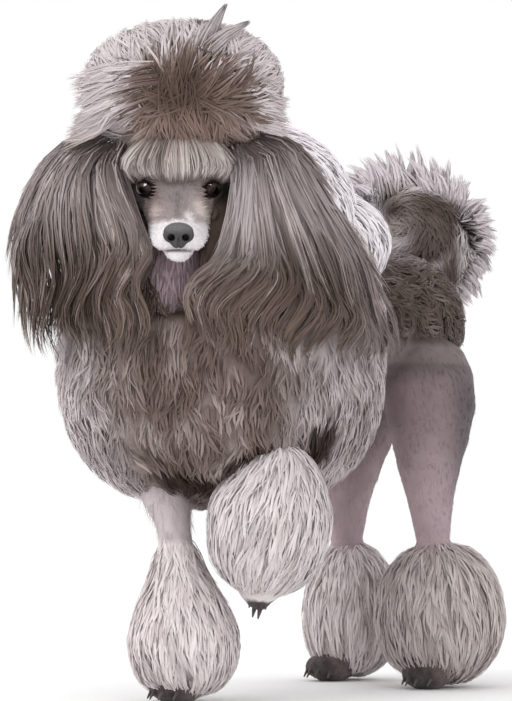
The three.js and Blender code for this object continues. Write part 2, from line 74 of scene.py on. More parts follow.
# Paws: heel, toe and whether the foot is lifted. Toes: place across the paw and how much shorter each is
PAWS = {
    "front_right": ([12, -150, 23], [12, -208, 11], False),
    "front_left": ([108, -132, 165], [106, -138, 116], True),
    "hind_left": ([115, 255, 23], [116, 196, 11], False),
    "hind_right": ([-88, 326, 23], [-92, 262, 11], False),
}
TOES = [(-20, 14), (-7, 2), (7, 0), (20, 12)]
CLAW_HALF_WIDTH = 3.3
CLAW_HALF_DEPTH = 4.2
CLAW_LENGTH = 17

# Ears: outer and inner edge from root to tips, how far the hair swells, and how much of its bulge it takes
EAR_GUIDES = {
    "left": (
        [[112, -160, 689], [150, -110, 680], [192, -58, 587], [210, 0, 475], [200, -8, 412]],
        [[111, -203, 669], [129, -216, 628], [116, -250, 552], [110, -278, 492], [122, -268, 408]],
    ),
    "right": (
        [[-40, -268, 693], [-86, -286, 682], [-149, -290, 614], [-172, -283, 510], [-150, -266, 420]],
        [[8, -276, 674], [25, -294, 632], [59, -299, 559], [70, -301, 493], [60, -296, 414]],
    ),
}
EAR_SWELL = np.array([2, 20, 28, 26, 22])
EAR_LIFT = np.array([0, 1, 1, 1, 0.8])

# Layers of an ear's hair: locks, tufts in each, points along a tuft, where locks start and where they end,
# their share of the ear's width, curl, and spread at root and tips
EAR_LAYERS = [
    (110, 15, 6, (0.0, 0.14), (0.46, 0.84), (0.02, 1.0), 4.0, 12, 2.6),
    (120, 10, 14, (0.26, 0.56), (0.86, 1.0), (0.03, 1.0), 13.0, 12, 2.4),
    (52, 11, 7, (0.02, 0.6), (0.3, 0.98), (-0.06, 0.12), 5.0, 9, 1.8),
]

# Locks that fan out over the brow and behind it: rows of points from root to tips, and how many locks
FANS = [
    ([[(97, -331, 752), (99, -331, 740), (96, -325, 730), (92, -318, 722)],
      [(57, -339, 752), (54, -341, 736), (48, -334, 718), (40, -322, 704)],
      [(12, -333, 757), (8, -333, 734), (2, -325, 711), (-8, -315, 688)],
      [(-42, -324, 759), (-35, -320, 733), (-42, -316, 702), (-60, -320, 674)]], 66),
    ([[(150, -264, 726), (146, -262, 716), (138, -256, 708)],
      [(168, -214, 726), (164, -212, 712), (150, -200, 694)],
      [(165, -150, 735), (165, -152, 712), (167, -147, 681)]], 28),
]

# Loose spikes at the top of the topknot, from root to tip
SPIKES = [
    [(144, -294, 772), (143, -278, 797), (137, -255, 820), (134, -235, 841)],
    [(148, -291, 770), (153, -266, 792), (153, -238, 807), (152, -212, 820)],
    [(130, -292, 768), (122, -276, 790), (112, -258, 806), (104, -246, 817)],
]

# Painted shade in the dark gaps at the foot of the mane: middle and reach
MANE_PAINTED_SHADOWS = [
    ((158, -73, 318), 34), ((150, -84, 306), 28), ((128, -168, 300), 24), ((112, -180, 284), 20),
    ((46, -196, 258), 32), ((24, -204, 264), 26), ((64, -186, 256), 22),
]

# How far the tail's locks reach, from its root to its end
TAIL_REACH = np.array([62, 50, 46, 66, 92, 80, 52.0])

# Flesh: room in which forms blend, how far round a form its distance counts, the distance where the field
# ends, the size of the bracelets' cores, and the step and the box of the skin's mesh
BLEND = 9.0
ROOM = 25
FAR = 40.0
CORE = 0.9
SKIN_GRID = 6.0
SKIN_LOW = np.array([-190.0, -340, -12])
SKIN_HIGH = np.array([210.0, 500, 815])

# Tufts: most faces in one piece, how far they are lit as one soft coat, depth as a share of width, scale of
# the grain across and along them, its step from tuft to tuft, and the patch of the unwrap that each one takes
MOST_FACES = 190000
SOFTNESS = 0.8
TUFT_DEPTH = 0.45
GRAIN_ACROSS = 1.8
GRAIN_ALONG = 0.05
GRAIN_STEP = 7.31
GRAIN_SPAN = 997
PATCH_ACROSS = [0.0002, 0.0024, 0.0013]
PATCH_ALONG = 0.0026
PATCH_TIP = [0.0013, 0.0028]

# Locks: depth as a share of width, and the fine tufts among the broad ones: width, rise and contrast
LOCK_DEPTH = 0.45
FINE_WIDTH = 0.36
FINE_RISE = 0.8
FINE_CONTRAST = 2.2

# Turn from each place on a form to the next, so that places never line up
GOLDEN_TURN = 0.6180339887

# Lamps: name, kind, place in metres, size in metres or radians, power
LIGHTS = [
    ("key", "AREA", (-0.6, -3.0, 2.6), 2.4, 34),
    ("fill", "AREA", (2.6, -1.6, 1.4), 2.6, 12),
    ("glint", "AREA", (0.66, -1.55, 1.75), 0.75, 120),
    ("sky", "SUN", (-0.4, -0.8, 2.6), 0.9, 0.5),
]
LAMPS_AIM = (0.0, 0.0, 0.5)

# The photograph's viewpoint, measured from the animal's own origin: degrees, millimetres, pixels
VIEW_TURN = math.radians(37)
VIEW_DISTANCE = 3000.0
VIEW_HEIGHT = 200.0
VIEW_PITCH = math.radians(4.65)
VIEW_FOCAL = 2311.0
VIEW_LONG_SIDE = 701.0
SENSOR = 36

# Ways: the frame's axes, the head's own axes, and the way that the coat lies along the back
X, Y, Z = np.eye(3)
FORWARD = np.array([
    math.sin(HEAD_TURN) * math.cos(HEAD_NOD),
    -math.cos(HEAD_TURN) * math.cos(HEAD_NOD),
    -math.sin(HEAD_NOD),
])
LEFT = np.array([math.cos(HEAD_TURN), math.sin(HEAD_TURN), 0.0])
UP = np.cross(FORWARD, LEFT)
BACK = np.array([0.0, 0.8, -0.6])
TO_VIEWER = np.array([math.sin(VIEW_TURN), -math.cos(VIEW_TURN), 0.0])
ACROSS_VIEW = np.array([math.cos(VIEW_TURN), math.sin(VIEW_TURN), 0.0])

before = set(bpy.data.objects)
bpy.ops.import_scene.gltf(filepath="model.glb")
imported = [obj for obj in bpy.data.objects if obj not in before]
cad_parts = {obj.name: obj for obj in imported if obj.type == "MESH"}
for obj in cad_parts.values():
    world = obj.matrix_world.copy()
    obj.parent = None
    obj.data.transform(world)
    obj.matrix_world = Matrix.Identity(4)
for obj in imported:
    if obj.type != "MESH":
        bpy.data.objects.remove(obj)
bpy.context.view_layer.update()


def head_point(forward, left, up):
    """A point of the head, forward, left and up from the point between the eyes."""
    return EYES_AT + forward * FORWARD + left * LEFT + up * UP


def middle_of(solid):
    """Middle of a solid's box, in metres."""
    low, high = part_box(solid)
    return (np.array(low) + np.array(high)) / 2


# From the sizes here to the part's own frame, in metres, by where its eyes are
SHIFT = (middle_of("eye_left") + middle_of("eye_right")) / 2 - head_point(EYE_BACK, 0, 0) / 1000


def unit(v):
    return v / np.maximum(np.linalg.norm(v, axis=-1, keepdims=True), 1e-9)


def dot(a, b):
    return np.sum(a * b, axis=-1, keepdims=True)


def flat_on(direction, out):
    """Part of a direction that lies along a surface."""
    return direction - dot(direction, out) * out


def smooth(low, high, x):
    t = np.clip((x - low) / (high - low), 0, 1)
    return t * t * (3 - 2 * t)


def ridge(x, middle, width):
    """1 at the middle, fading softly to 0 over about two widths."""
    return np.exp(-(((x - middle) / width) ** 2))


def mixed(a, b, share):
    share = np.asarray(share)[..., None]
    return np.asarray(a) * (1 - share) + np.asarray(b) * share


def laid(colour, *layers):
    """Colours laid over a first one in turn, each given as its share and as it looks on screen."""
    for share, *screen in layers:
        colour = mixed(colour, shade(*screen), share)
    return colour


def shade(red, green, blue):
    """A colour given as it looks on screen, 0 to 255, as linear light."""
    c = np.array([red, green, blue]) / 255
    return np.where(c <= 0.04045, c / 12.92, ((c + 0.055) / 1.055) ** 2.4)


def distance_to(point, where):
    return np.linalg.norm(point - where, axis=-1)


def inside(p, middle, half):
    """Whether points lie within an ellipsoid."""
    return np.linalg.norm((p - middle) / half, axis=-1) < 1


def evenly(direction, p):
    """One direction for every point."""
    return np.tile(direction, (len(p), 1))


def bumps(points, size, octaves=3):
    """Soft uneven heights from -1 to 1."""
    flat = points.reshape(-1, 3) / size
    return np.array([noise.fractal(Vector(p), 1.0, 2.0, octaves) for p in flat]).reshape(points.shape[:-1])


def spline(points, t):
    """A smooth curve through points, or one through each row of points, at t from 0 to 1."""
    points = np.asarray(points, float)
    last = len(points) - 1
    place = np.clip(np.asarray(t, float) * last, 0, last)
    i = np.minimum(place.astype(int), last - 1)
    f = (place - i).reshape(place.shape + (1,) * (points.ndim - 1))
    more = np.concatenate([2 * points[:1] - points[1:2], points, 2 * points[-1:] - points[-2:-1]])
    a, b, c, d = more[i], more[i + 1], more[i + 2], more[i + 3]
    return 0.5 * (2 * b + (c - a) * f + (2 * a - 5 * b + 4 * c - d) * f**2
                  + (3 * b - a - 3 * c + d) * f**3)


def face_frame(p):
    """Forward, left and up of points, from the point between the eyes."""
    q = p - EYES_AT
    return q @ FORWARD, q @ LEFT, q @ UP


class Form:
    """A form swept along a path, its half widths along side and its half depths across it."""

    square = 2.0

    def __init__(self, path, wide, deep=None, side=X, blunt=4.0):
        self.path = np.array(path, float)
        self.sizes = np.stack([wide, wide if deep is None else deep], -1).astype(float)
        self.side = np.asarray(side, float)
        self.blunt = blunt

    def at(self, t):
        t = np.asarray(t, float)
        along = unit(spline(self.path, np.minimum(t + 0.01, 1)) - spline(self.path, np.maximum(t - 0.01, 0)))
        across = unit(flat_on(self.side, along))
        return spline(self.path, t), along, across, np.cross(across, along)

    def surface(self, v, angle):
        c = np.cos(np.pi * np.clip(v, 0, 1))
        full = (1 - np.abs(c) ** self.blunt) ** (1 / self.blunt)
        middle, _, across, over = self.at((1 - c) / 2)
        size = spline(self.sizes, (1 - c) / 2) * full[..., None]
        wide, deep = (np.sign(w) * np.abs(w) ** (2 / self.square) for w in (np.cos(angle), np.sin(angle)))
        wide = across * (wide * size[..., 0])[..., None]
        deep = over * (deep * size[..., 1])[..., None]
        return middle + wide + deep

    def outward(self, v, angle):
        along = self.surface(v + 0.004, angle) - self.surface(v - 0.004, angle)
        around = self.surface(v, angle + 0.004) - self.surface(v, angle - 0.004)
        return unit(np.cross(along, around))

    def places(self, count, draw, low=0.02, high=0.98):
        """Places spread evenly over the surface: v, angle, point and the way out of it."""
        rows = np.linspace(low, high, 300)
        angles = np.linspace(0, 2 * np.pi, 24, endpoint=False)
        grid = [g.ravel() for g in np.meshgrid(rows, angles, indexing="ij")]
        point = self.surface(*grid)
        along = self.surface(grid[0] + 0.005, grid[1]) - point
        around = self.surface(grid[0], grid[1] + 0.01) - point
        area = np.linalg.norm(np.cross(along, around), axis=-1).reshape(300, 24).sum(1)
        share = np.cumsum(area) / area.sum()
        i = np.arange(count)
        v = np.interp((i + draw.uniform(0, 1, count)) / count, share, rows)
        angle = 2 * np.pi * ((i * GOLDEN_TURN) % 1) + draw.uniform(-0.1, 0.1, count)
        return v, angle, self.surface(v, angle), self.outward(v, angle)

    def distance(self, points, pieces=13):
        """Distance of points from the form's surface, negative inside."""
        c = np.cos(np.pi * np.linspace(0, 1, pieces))
        t = (1 - c) / 2
        middle, along, across, over = self.at(t)
        run = np.concatenate([[0], np.cumsum(np.linalg.norm(np.diff(middle, axis=0), axis=1))])
        to_end = np.minimum(run, run[-1] - run) + 2
        ends = (1 - np.abs(c) ** self.blunt) ** (1 / self.blunt)
        size = np.maximum(spline(self.sizes, t) * ends[:, None], 1.5)
        best = np.full(len(points), 1e6)
        for i in range(pieces - 1):
            span = middle[i + 1] - middle[i]
            h = np.clip((points - middle[i]) @ span / (span @ span), 0, 1)
            away = points - middle[i] - h[:, None] * span
            wide = size[i, 0] * (1 - h) + size[i + 1, 0] * h
            deep = size[i, 1] * (1 - h) + size[i + 1, 1] * h
            cap = np.minimum(np.minimum(wide, deep), to_end[i] * (1 - h) + to_end[i + 1] * h)
            a = away @ ((across[i] + across[i + 1]) / 2) / wide
            b = away @ ((over[i] + over[i + 1]) / 2) / deep
            e = away @ ((along[i] + along[i + 1]) / 2) / cap
            k = np.sqrt(a * a + b * b + e * e) + 1e-6
            length = np.linalg.norm(away, axis=1)
            best = np.minimum(best, np.where(length > 1e-3, length * (1 - 1 / k), -np.minimum(wide, deep)))
        return best

    def box(self, room):
        t = np.linspace(0, 1, 9)
        reach = spline(self.sizes, t).max(1)[:, None] + room
        middle = spline(self.path, t)
        return (middle - reach).min(0), (middle + reach).max(0)


class Ball(Form):
    """A rounded form about a straight axis."""

    def __init__(self, middle, along, half, wide, deep, side=X, blunt=2.0, square=2.0):
        self.square = square
        ends = [np.asarray(middle, float) + s * np.asarray(along) for s in (-half, 0, half)]
        super().__init__(ends, [wide] * 3, [deep] * 3, side, blunt)
        self.half = half * np.linalg.norm(along)

    def distance(self, points):
        _, along, across, over = self.at(0.5)
        q = points - self.path[1]
        ring = (np.abs(q @ across / self.sizes[0, 0]) ** self.square
                + np.abs(q @ over / self.sizes[0, 1]) ** self.square) ** (1 / self.square)
        k = (ring**self.blunt + np.abs(q @ along / self.half) ** self.blunt) ** (1 / self.blunt) + 1e-6
        return np.linalg.norm(q, axis=1) * (1 - 1 / k)


def union(a, b, room):
    h = np.maximum(room - np.abs(a - b), 0) / room
    return np.minimum(a, b) - h * h * room / 4


def sunk(form, points, depth):
    """Points moved so far under a form's surface."""
    flat = points.reshape(-1, 3)
    away = form.distance(flat)
    slope = np.stack([form.distance(flat + 0.5 * axis) - away for axis in (X, Y, Z)], 1)
    depth = np.broadcast_to(depth, points.shape[:-1]).ravel()
    return (flat - unit(slope) * (away + depth)[:, None]).reshape(points.shape)


# Outer shapes of the coat, out to the tips
mane_outer = Ball(MANE_AT, Y, 213, 184, 212, X, 2.6, 2.7)
neck_outer = Form([[0, -45, 540], [6, -54, 620], [12, -105, 700]], [135, 156, 100], [135, 156, 96], X, 3)
withers_outer = Ball([20, 60, 588], Y, 115, 125, 80, X, 2.3)
topknot_outer = Ball(TOPKNOT_AT, Z, 82, 128, 118, X, 2.3)
TOPKNOT_FRONT = TOPKNOT_AT + 125 * FORWARD + 25 * Z
loin_outer = Form([[0, 80, 485], [0, 180, 492], [0, 262, 505]], [100, 98, 96], [114, 102, 96], X, 6)
rump_outer = Form([[0, 222, 500], [0, 300, 502], [0, 362, 498], [0, 408, 486]],
                  [98, 104, 90, 56], [98, 102, 94, 62], X, 3)
tail_shaft = Form([[-3, 412, 541], [30, 448, 592], [36, 463, 636], [20, 450, 661], [-12, 417, 677],
                   [-57, 371, 684], [-95, 332, 668]],
                  [20, 17, 15, 14, 13, 11, 8], None, X, 6)
tail_disc = Ball([-10, 396, 650], TO_VIEWER, 26, 62, 58, ACROSS_VIEW, 2.3)
tail_fill = Ball([22, 427, 600], TO_VIEWER, 22, 36, 66, ACROSS_VIEW, 2.3)

# The tail's own line as it is seen: across the view and up
TAIL_LINE = [(q @ tail_disc.side, q[2]) for q in spline(tail_shaft.path, np.linspace(0, 1, 41))]

# Bracelets from top to foot
BRACELETS = {
    "front_right": Form([[6, -172, 206], [8, -168, 136], [12, -163, 66], [14, -161, 8]],
                        [22, 43, 70, 52], [24, 43, 70, 52], X, 3),
    "front_left": Form([[138, -126, 314], [132, -128, 276], [120, -132, 222], [112, -132, 172],
                        [110, -134, 132]],
                       [22, 48, 76, 62, 30], [22, 48, 76, 62, 30], X, 3),
    "hind_left": Form([[106, 267, 192], [109, 268, 146], [111, 266, 86], [113, 256, 8]],
                      [42, 72, 90, 66], [42, 74, 88, 72], X, 3),
    "hind_right": Form([[-89, 345, 194], [-88, 343, 140], [-84, 337, 80], [-84, 328, 8]],
                       [32, 58, 68, 56], [34, 62, 74, 62], X, 3),
}

# Shades of each bracelet: tips, roots and darker patches
BRACELET_SHADES = {
    "front_right": (shade(220, 210, 210), shade(214, 204, 204), shade(184, 173, 171)),
    "front_left": (shade(216, 208, 208), shade(211, 202, 202), shade(192, 182, 181)),
    "hind_left": (shade(196, 185, 183), shade(186, 175, 173), shade(156, 144, 140)),
    "hind_right": (shade(226, 216, 216), shade(214, 203, 203), shade(172, 160, 158)),
}

# Shaved limbs from the body down to the paws
LIMBS = {
    "front_right": Form([[-52, -70, 400], [-34, -128, 300], [-18, -160, 252], [2, -171, 220], [7, -172, 120],
                         [12, -155, 30]],
                        [48, 44, 31, 20, 18, 19], [58, 44, 33, 22, 20, 20], X, 5),
    "front_left": Form([[64, -60, 400], [98, -50, 340], [122, -100, 300], [116, -136, 250], [109, -132, 165]],
                       [48, 34, 26, 20, 16], [58, 40, 28, 22, 17], X, 5),
    "hind_left": Form([[60, 312, 470], [76, 296, 390], [89, 274, 300], [102, 264, 200], [112, 262, 40]],
                      [64, 58, 38, 21, 20], [82, 82, 54, 27, 22], X, 4),
    "hind_right": Form([[-60, 330, 470], [-74, 336, 390], [-86, 334, 300], [-92, 338, 200], [-86, 334, 40]],
                       [64, 60, 40, 21, 20], [84, 84, 56, 27, 22], X, 4),
}


def make_mesh(name, points, corners, sizes, tint=None):
    """A piece made of points in millimetres and of faces given as one run of corners."""
    mesh = bpy.data.meshes.new(name)
    mesh.vertices.add(len(points))
    mesh.vertices.foreach_set("co", (points / 1000 + SHIFT).astype(np.float32).ravel())
    mesh.loops.add(len(corners))
    mesh.loops.foreach_set("vertex_index", corners.astype(np.int32))
    mesh.polygons.add(len(sizes))
    mesh.polygons.foreach_set("loop_start", (np.cumsum(sizes) - sizes).astype(np.int32))
    mesh.update(calc_edges=True)
    mesh.polygons.foreach_set("use_smooth", np.ones(len(sizes), bool))
    if tint is not None:
        colours = mesh.color_attributes.new("tint", "FLOAT_COLOR", "POINT")
        rgba = np.ones((len(points), 4), np.float32)
        rgba[:, :3] = np.clip(tint, 0, 1)
        colours.data.foreach_set("color", rgba.ravel())
    piece = bpy.data.objects.new(name, mesh)
    bpy.context.scene.collection.objects.link(piece)
    return piece


def add_values(piece, name, kind, key, values):
    """Gives each point of a piece a value of its own."""
    layer = piece.data.attributes.new(name, kind, "POINT")
    layer.data.foreach_set(key, values.astype(np.float32).ravel())


def add_unwrap(piece, places):
    """Gives each corner of a piece its place on the unwrap."""
    layer = piece.data.uv_layers.new(name="OFBake")
    layer.data.foreach_set("uv", places.astype(np.float32).ravel())


def finish_piece(piece, material, slot, *nodes):
    """Gives a piece its material, hangs it under the root and hides the solids that it stands for; its slot
    is not used.
    """
    piece.data.materials.append(material)
    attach(piece, "root")
    if nodes:
        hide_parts(*nodes)


def tuft_pieces(name, coat, material, slot, *nodes):
    """Closed three-sided tapered tufts, in as many pieces as keep each piece light."""
    paths, outs, widths, tints, uv = coat
    rings = paths.shape[1] - 1
    each = 6 * (rings - 1) + 4
    parts = math.ceil(len(paths) * each / MOST_FACES)
    for part in range(parts):
        mine = slice(part, None, parts)
        suffix = f"_{part + 1}" if parts > 1 else ""
        piece = tuft_piece(name + suffix, paths[mine], outs[mine], widths[mine], tints[mine], uv[mine])
        finish_piece(piece, material, slot, *(nodes if part == 0 else ()))


def tuft_piece(name, paths, outs, widths, tints, uv):
    """Tufts with rings of three points and one tip, shaded partly as the surface that they lie on."""
    count, points, _ = paths.shape
    rings = points - 1
    along = unit(np.gradient(paths, axis=1))
    over = unit(flat_on(outs[:, None], along))
    side = np.cross(along, over)
    t = np.arange(rings) / rings
    taper = (0.55 + 0.9 * t) * (1 - t**2) ** 0.6
    wide = (widths[:, None] * taper)[..., None]
    ring = np.stack([
        paths[:, :-1] + side[:, :-1] * wide,
        paths[:, :-1] - side[:, :-1] * wide,
        paths[:, :-1] + over[:, :-1] * wide * TUFT_DEPTH,
    ], 2).reshape(count, rings * 3, 3)
    vertices = np.concatenate([ring, paths[:, -1:]], 1)
    each = rings * 3 + 1
    corners = [0, 2, 1]
    sizes = [3]
    under = [True] * 3
    for r in range(rings - 1):
        for a, b in ((0, 1), (1, 2), (2, 0)):
            corners += [3 * r + a, 3 * r + b, 3 * r + 3 + b, 3 * r + 3 + a]
            sizes.append(4)
            under += [a == 0] * 4
    tip = each - 1
    for a, b in ((0, 1), (1, 2), (2, 0)):
        corners += [3 * (rings - 1) + a, 3 * (rings - 1) + b, tip]
        sizes.append(3)
        under += [a == 0] * 3
    pattern = np.array(corners)
    start = np.arange(count)[:, None] * each
    corners = (pattern[None] + start).ravel()
    sizes = np.tile(sizes, count)
    tint = np.concatenate([np.repeat(tints[:, :-1], 3, 1), tints[:, -1:]], 1).reshape(-1, 3)
    piece = make_mesh(name, vertices.reshape(-1, 3), corners, sizes, tint)
    ring_ways = np.stack([side, -side, over], 2)[:, :-1].reshape(count, rings * 3, 3)
    to_corner = np.concatenate([ring_ways, over[:, -1:]], 1)
    middle = np.concatenate([np.repeat(over[:, :-1], 3, 1), over[:, -1:]], 1)
    above = unit(SOFTNESS * outs[:, None] + (1 - SOFTNESS) * to_corner)
    below = above - 2 * dot(above, middle) * middle
    normals = np.where(np.array(under)[None, :, None], below[:, pattern], above[:, pattern])
    piece.data.normals_split_custom_set(normals.reshape(-1, 3).astype(np.float32))
    strand = np.zeros((count, each, 3), np.float32)
    strand[:, :-1, 0] = np.tile([1, -1, 0], rings) * np.repeat(wide[..., 0], 3, 1) * GRAIN_ACROSS
    strand[..., 1] = (np.arange(count) * GRAIN_STEP % GRAIN_SPAN)[:, None]
    length = np.linalg.norm(np.diff(paths, axis=1), axis=-1).sum(1)
    strand[:, :-1, 2] = np.repeat(t, 3) * length[:, None] * GRAIN_ALONG
    strand[:, -1, 2] = length * GRAIN_ALONG
    add_values(piece, "strand", "FLOAT_VECTOR", "vector", strand)
    patch = np.zeros((each, 2))
    patch[:-1, 0] = np.tile(PATCH_ACROSS, rings)
    patch[:-1, 1] = np.repeat(PATCH_ALONG * t, 3)
    patch[-1] = PATCH_TIP
    add_unwrap(piece, (uv[:, None] + patch[None]).reshape(-1, 2)[corners])
    return piece


def wrapped(rows, sides):
    """Faces of a closed surface of rings between two poles, and each corner's place round and along it."""
    corners, sizes, places = [], [], []
    last = rows * sides + 1
    step = 1 / (rows + 1)
    for k in range(sides):
        n = (k + 1) % sides
        u, w = k / sides, (k + 1) / sides
        corners += [0, 1 + n, 1 + k]
        places += [((u + w) / 2, 0), (w, step), (u, step)]
        for start in range(1, last - sides, sides):
            low = (start // sides + 1) * step
            corners += [start + k, start + n, start + sides + n, start + sides + k]
            places += [(u, low), (w, low), (w, low + step), (u, low + step)]
        corners += [last - sides + k, last - sides + n, last]
        places += [(u, rows * step), (w, rows * step), ((u + w) / 2, 1)]
        sizes += [3] + [4] * (rows - 1) + [3]
    return np.array(corners), np.array(sizes), np.array(places)


def lathe(profile, middle, facing, sides, top):
    """A closed surface turned about an axis: rows of distance along it and away from it."""
    across = unit(np.cross(top, facing))
    over = np.cross(facing, across)
    angle = np.linspace(0, 2 * np.pi, sides, endpoint=False)
    round_way = np.cos(angle)[:, None] * across + np.sin(angle)[:, None] * over
    rows = [middle + along * facing + far * round_way for along, far in profile[1:-1]]
    points = np.concatenate([[middle + profile[0][0] * facing], *rows, [middle + profile[-1][0] * facing]])
    corners, sizes, _ = wrapped(len(rows), sides)
    return points, corners, sizes


def through(knots, points):
    """Lines of so many points through rows of knots, given as a list of arrays."""
    return np.ascontiguousarray(np.moveaxis(spline(knots, np.linspace(0, 1, points)), 0, 1))


def shortened(lines, share):
    """Each line cut to its share of its length."""
    points = lines.shape[1]
    place = np.linspace(0, 1, points)[None] * share[:, None] * (points - 1)
    i = np.minimum(place.astype(int), points - 2)
    f = (place - i)[..., None]
    rows = np.arange(len(lines))[:, None]
    return lines[rows, i] * (1 - f) + lines[rows, i + 1] * f


def hairs(guides, outs, uv, each, spread, gather, width, draw, wave=0.0, waves=1.0, short=0.25, early=1.3,
          uv_spread=0.01, tones=(0.13, 0.1), fine=0.4):
    """Broad and fine tufts round guide lines: their lines, outward ways, widths, tones and unwrap places."""
    count, points, _ = guides.shape
    along = unit(np.gradient(guides, axis=1))
    side = unit(np.cross(along, outs[:, None]))
    over = np.cross(side, along)
    turn = draw.uniform(0, 2 * np.pi, (count, each))
    far = np.sqrt(draw.uniform(0, 1, (count, each)))
    slim = draw.uniform(0, 1, (count, each)) < fine
    a = (far * np.cos(turn))[..., None]
    b = (far * np.sin(turn) * LOCK_DEPTH)[..., None]
    t = np.linspace(0, 1, points)
    reach = spread + (gather - spread) * t**early
    bend = wave * t * np.sin(2 * np.pi * (waves * draw.uniform(0.8, 1.2, (count, each, 1)) * t
                                          + draw.uniform(0, 1, (count, each, 1))))
    lines = (guides[:, None] + side[:, None] * (a * reach + bend)[..., None]
             + over[:, None] * (b * reach + 0.4 * bend[..., ::-1] + FINE_RISE * slim[..., None])[..., None])
    slim = slim.ravel()
    lines = shortened(lines.reshape(-1, points, 3), 1 - short * draw.uniform(0, 1, count * each) ** 2)
    outs = unit(np.repeat(outs, each, 0) + draw.normal(0, 0.1, (count * each, 3)))
    widths = width * draw.uniform(0.75, 1.25, count * each) * np.where(slim, FINE_WIDTH, 1.0)
    lock_tone = draw.normal(0, 1, count)
    own_tone = draw.normal(0, 1, count * each) * np.where(slim, FINE_CONTRAST, 1.0)
    tone = 0.5 + tones[0] * np.repeat(lock_tone, each) + tones[1] * own_tone
    places = np.repeat(uv, each, 0) + np.stack([a, b], -1).reshape(-1, 2) * uv_spread
    return lines, outs, widths, np.clip(tone, 0, 1), np.clip(places, 0.004, 0.992)


def joined(*coats):
    """Several coats as one."""
    return [np.concatenate(parts) for parts in zip(*coats)]


def brushed(form, count, draw, flow, length, depth, lift, points=6, low=0.02, high=0.98, keep=None,
            sway=0.14):
    """Guide lines that leave the coat under each place, lie along the flow and end just past it."""
    v, angle, point, out = form.places(count, draw, low, high)
    if keep is not None:
        kept = keep(point)
        v, angle, point, out = v[kept], angle[kept], point[kept], out[kept]
    way = unit(flat_on(flow(point), out))
    size = length * draw.uniform(0.8, 1.2, (len(v), 1))
    aside = np.cross(way, out) * size * draw.uniform(-sway, sway, (len(v), 1))
    rise = lift * draw.uniform(-0.5, 1.2, len(v))
    knots = []
    steps = ((-0.62, 0, depth), (-0.3, 0.2, 0.42 * depth), (0.04, 0.6, 0.12 * depth), (0.38, 1, -rise))
    for run, turn, under in steps:
        knots.append(sunk(form, point + run * size * way + turn * aside, under))
    uv = np.stack([(angle / (2 * np.pi)) % 1, v], -1)
    return through(knots, points), out, uv


def toned(colour, tone, amount=0.5):
    """Varies a colour by each tuft's tone."""
    return colour * (1 + amount * (tone - 0.5))[..., None]


def coat_of(hair, paint):
    """Adds each tuft's colours, from root to tip, to its lines."""
    lines, outs, widths, tone, uv = hair
    t = np.broadcast_to(np.linspace(0, 1, lines.shape[1]), lines.shape[:2])
    tint = paint(lines, t, np.broadcast_to(tone[:, None], t.shape))
    return lines, outs, widths, tint, uv


def eye_at(s):
    return head_point(EYE_BACK, s * EYE_SIDE, EYE_RISE)


def eye_facing(s):
    return math.cos(EYE_OUTWARD) * FORWARD + s * math.sin(EYE_OUTWARD) * LEFT


def eye_opening(p, s):
    """How far points are inside the opening between an eye's lids, and from the eye's middle."""
    facing = eye_facing(s)
    outer = np.cross(facing, UP) * -s
    q = p - eye_at(s)
    ahead, aside, above = q @ facing, q @ outer, q @ UP
    turn = np.arctan2(aside, ahead)
    rise = np.arctan2(above + 1.2 * aside / EYE_RADIUS, np.hypot(ahead, aside))
    open_here = np.clip(1 - (turn / LID_WIDTH) ** 2, 0, 1) ** 0.6
    within = np.minimum(UPPER_LID * open_here - rise, rise - LOWER_LID * open_here)
    within = within - np.maximum(np.abs(turn) - LID_WIDTH, 0)
    return EYE_RADIUS * within, np.linalg.norm(q, axis=1)


def above_mouth(p):
    """How far points of the muzzle are above the line of the mouth; far from it behind its corners."""
    forward, left, up = face_frame(p)
    line = MOUTH_DROP - 4.8 * (left / 18) ** 2
    return up - line + 60 * smooth(44, 20, forward)


def ear_place(name, share, t, bulge):
    """Points of an ear's hair: share 0 at its outer edge and 1 at its inner one, t from root to tips."""
    outer, inner = (spline(edge, t) for edge in EAR_GUIDES[name])
    points = outer + (inner - outer) * share[..., None]
    away = points - MANE_AT
    away[..., 2] = 0
    away = unit(away)
    lift = np.sin(np.pi * np.clip(share, 0, 1)) * spline(EAR_SWELL[:, None], t)[..., 0]
    lift = lift + bulge * spline(EAR_LIFT[:, None], t)[..., 0]
    return points + away * lift[..., None], away


def ear_flap(name):
    t = np.array([0.03, 0.2, 0.38, 0.56, 0.7])
    line, away = ear_place(name, np.full(5, 0.52), t, np.array([-26.0, -26, -24, -23, -22]))
    return Form(line, [18, 36, 44, 44, 24], [7, 7, 7, 6, 5], np.cross(Z, away[2]), 3)


def near_ears(p):
    """From 0 to 1 over the leather of the ears."""
    line = np.concatenate([spline(ear_flap(name).path, np.linspace(0, 1, 9)) for name in EAR_GUIDES])
    away = np.min([distance_to(p, point) for point in line], axis=0)
    return smooth(60, 44, away)


def clear_of_face(lines, s, draw):
    """Moves an ear's hair aside wherever it would hang before the face."""
    forward, left, up = face_frame(lines)
    height = UP_RISE * up + FORWARD_RISE * forward
    edge = [-12, 16, 31, 42, 59, 56] if s > 0 else [-8, 24, 36, 45, 60, 58]
    limit = np.interp(height, [-116, -69, -48, -29, 9, 40], edge)
    limit = limit + draw.uniform(-1, 7, (len(lines), 1))
    held = np.where(s * left < limit, s * limit, left)
    return lines + (held - left)[..., None] * LEFT


def ahead_of_mane(p):
    """Bearing round the mane's middle, in degrees, 0 in front and growing to the left."""
    q = p - MANE_AT
    return np.degrees(np.arctan2(q[..., 0], -q[..., 1]))


def under_ear(p):
    """Whether an ear's hair covers a place of the mane."""
    turn = ahead_of_mane(p)
    covered = ((turn > -34) & (turn < 7)) | ((turn > 33) & (turn < 90))
    return covered & (p[..., 2] > 470)


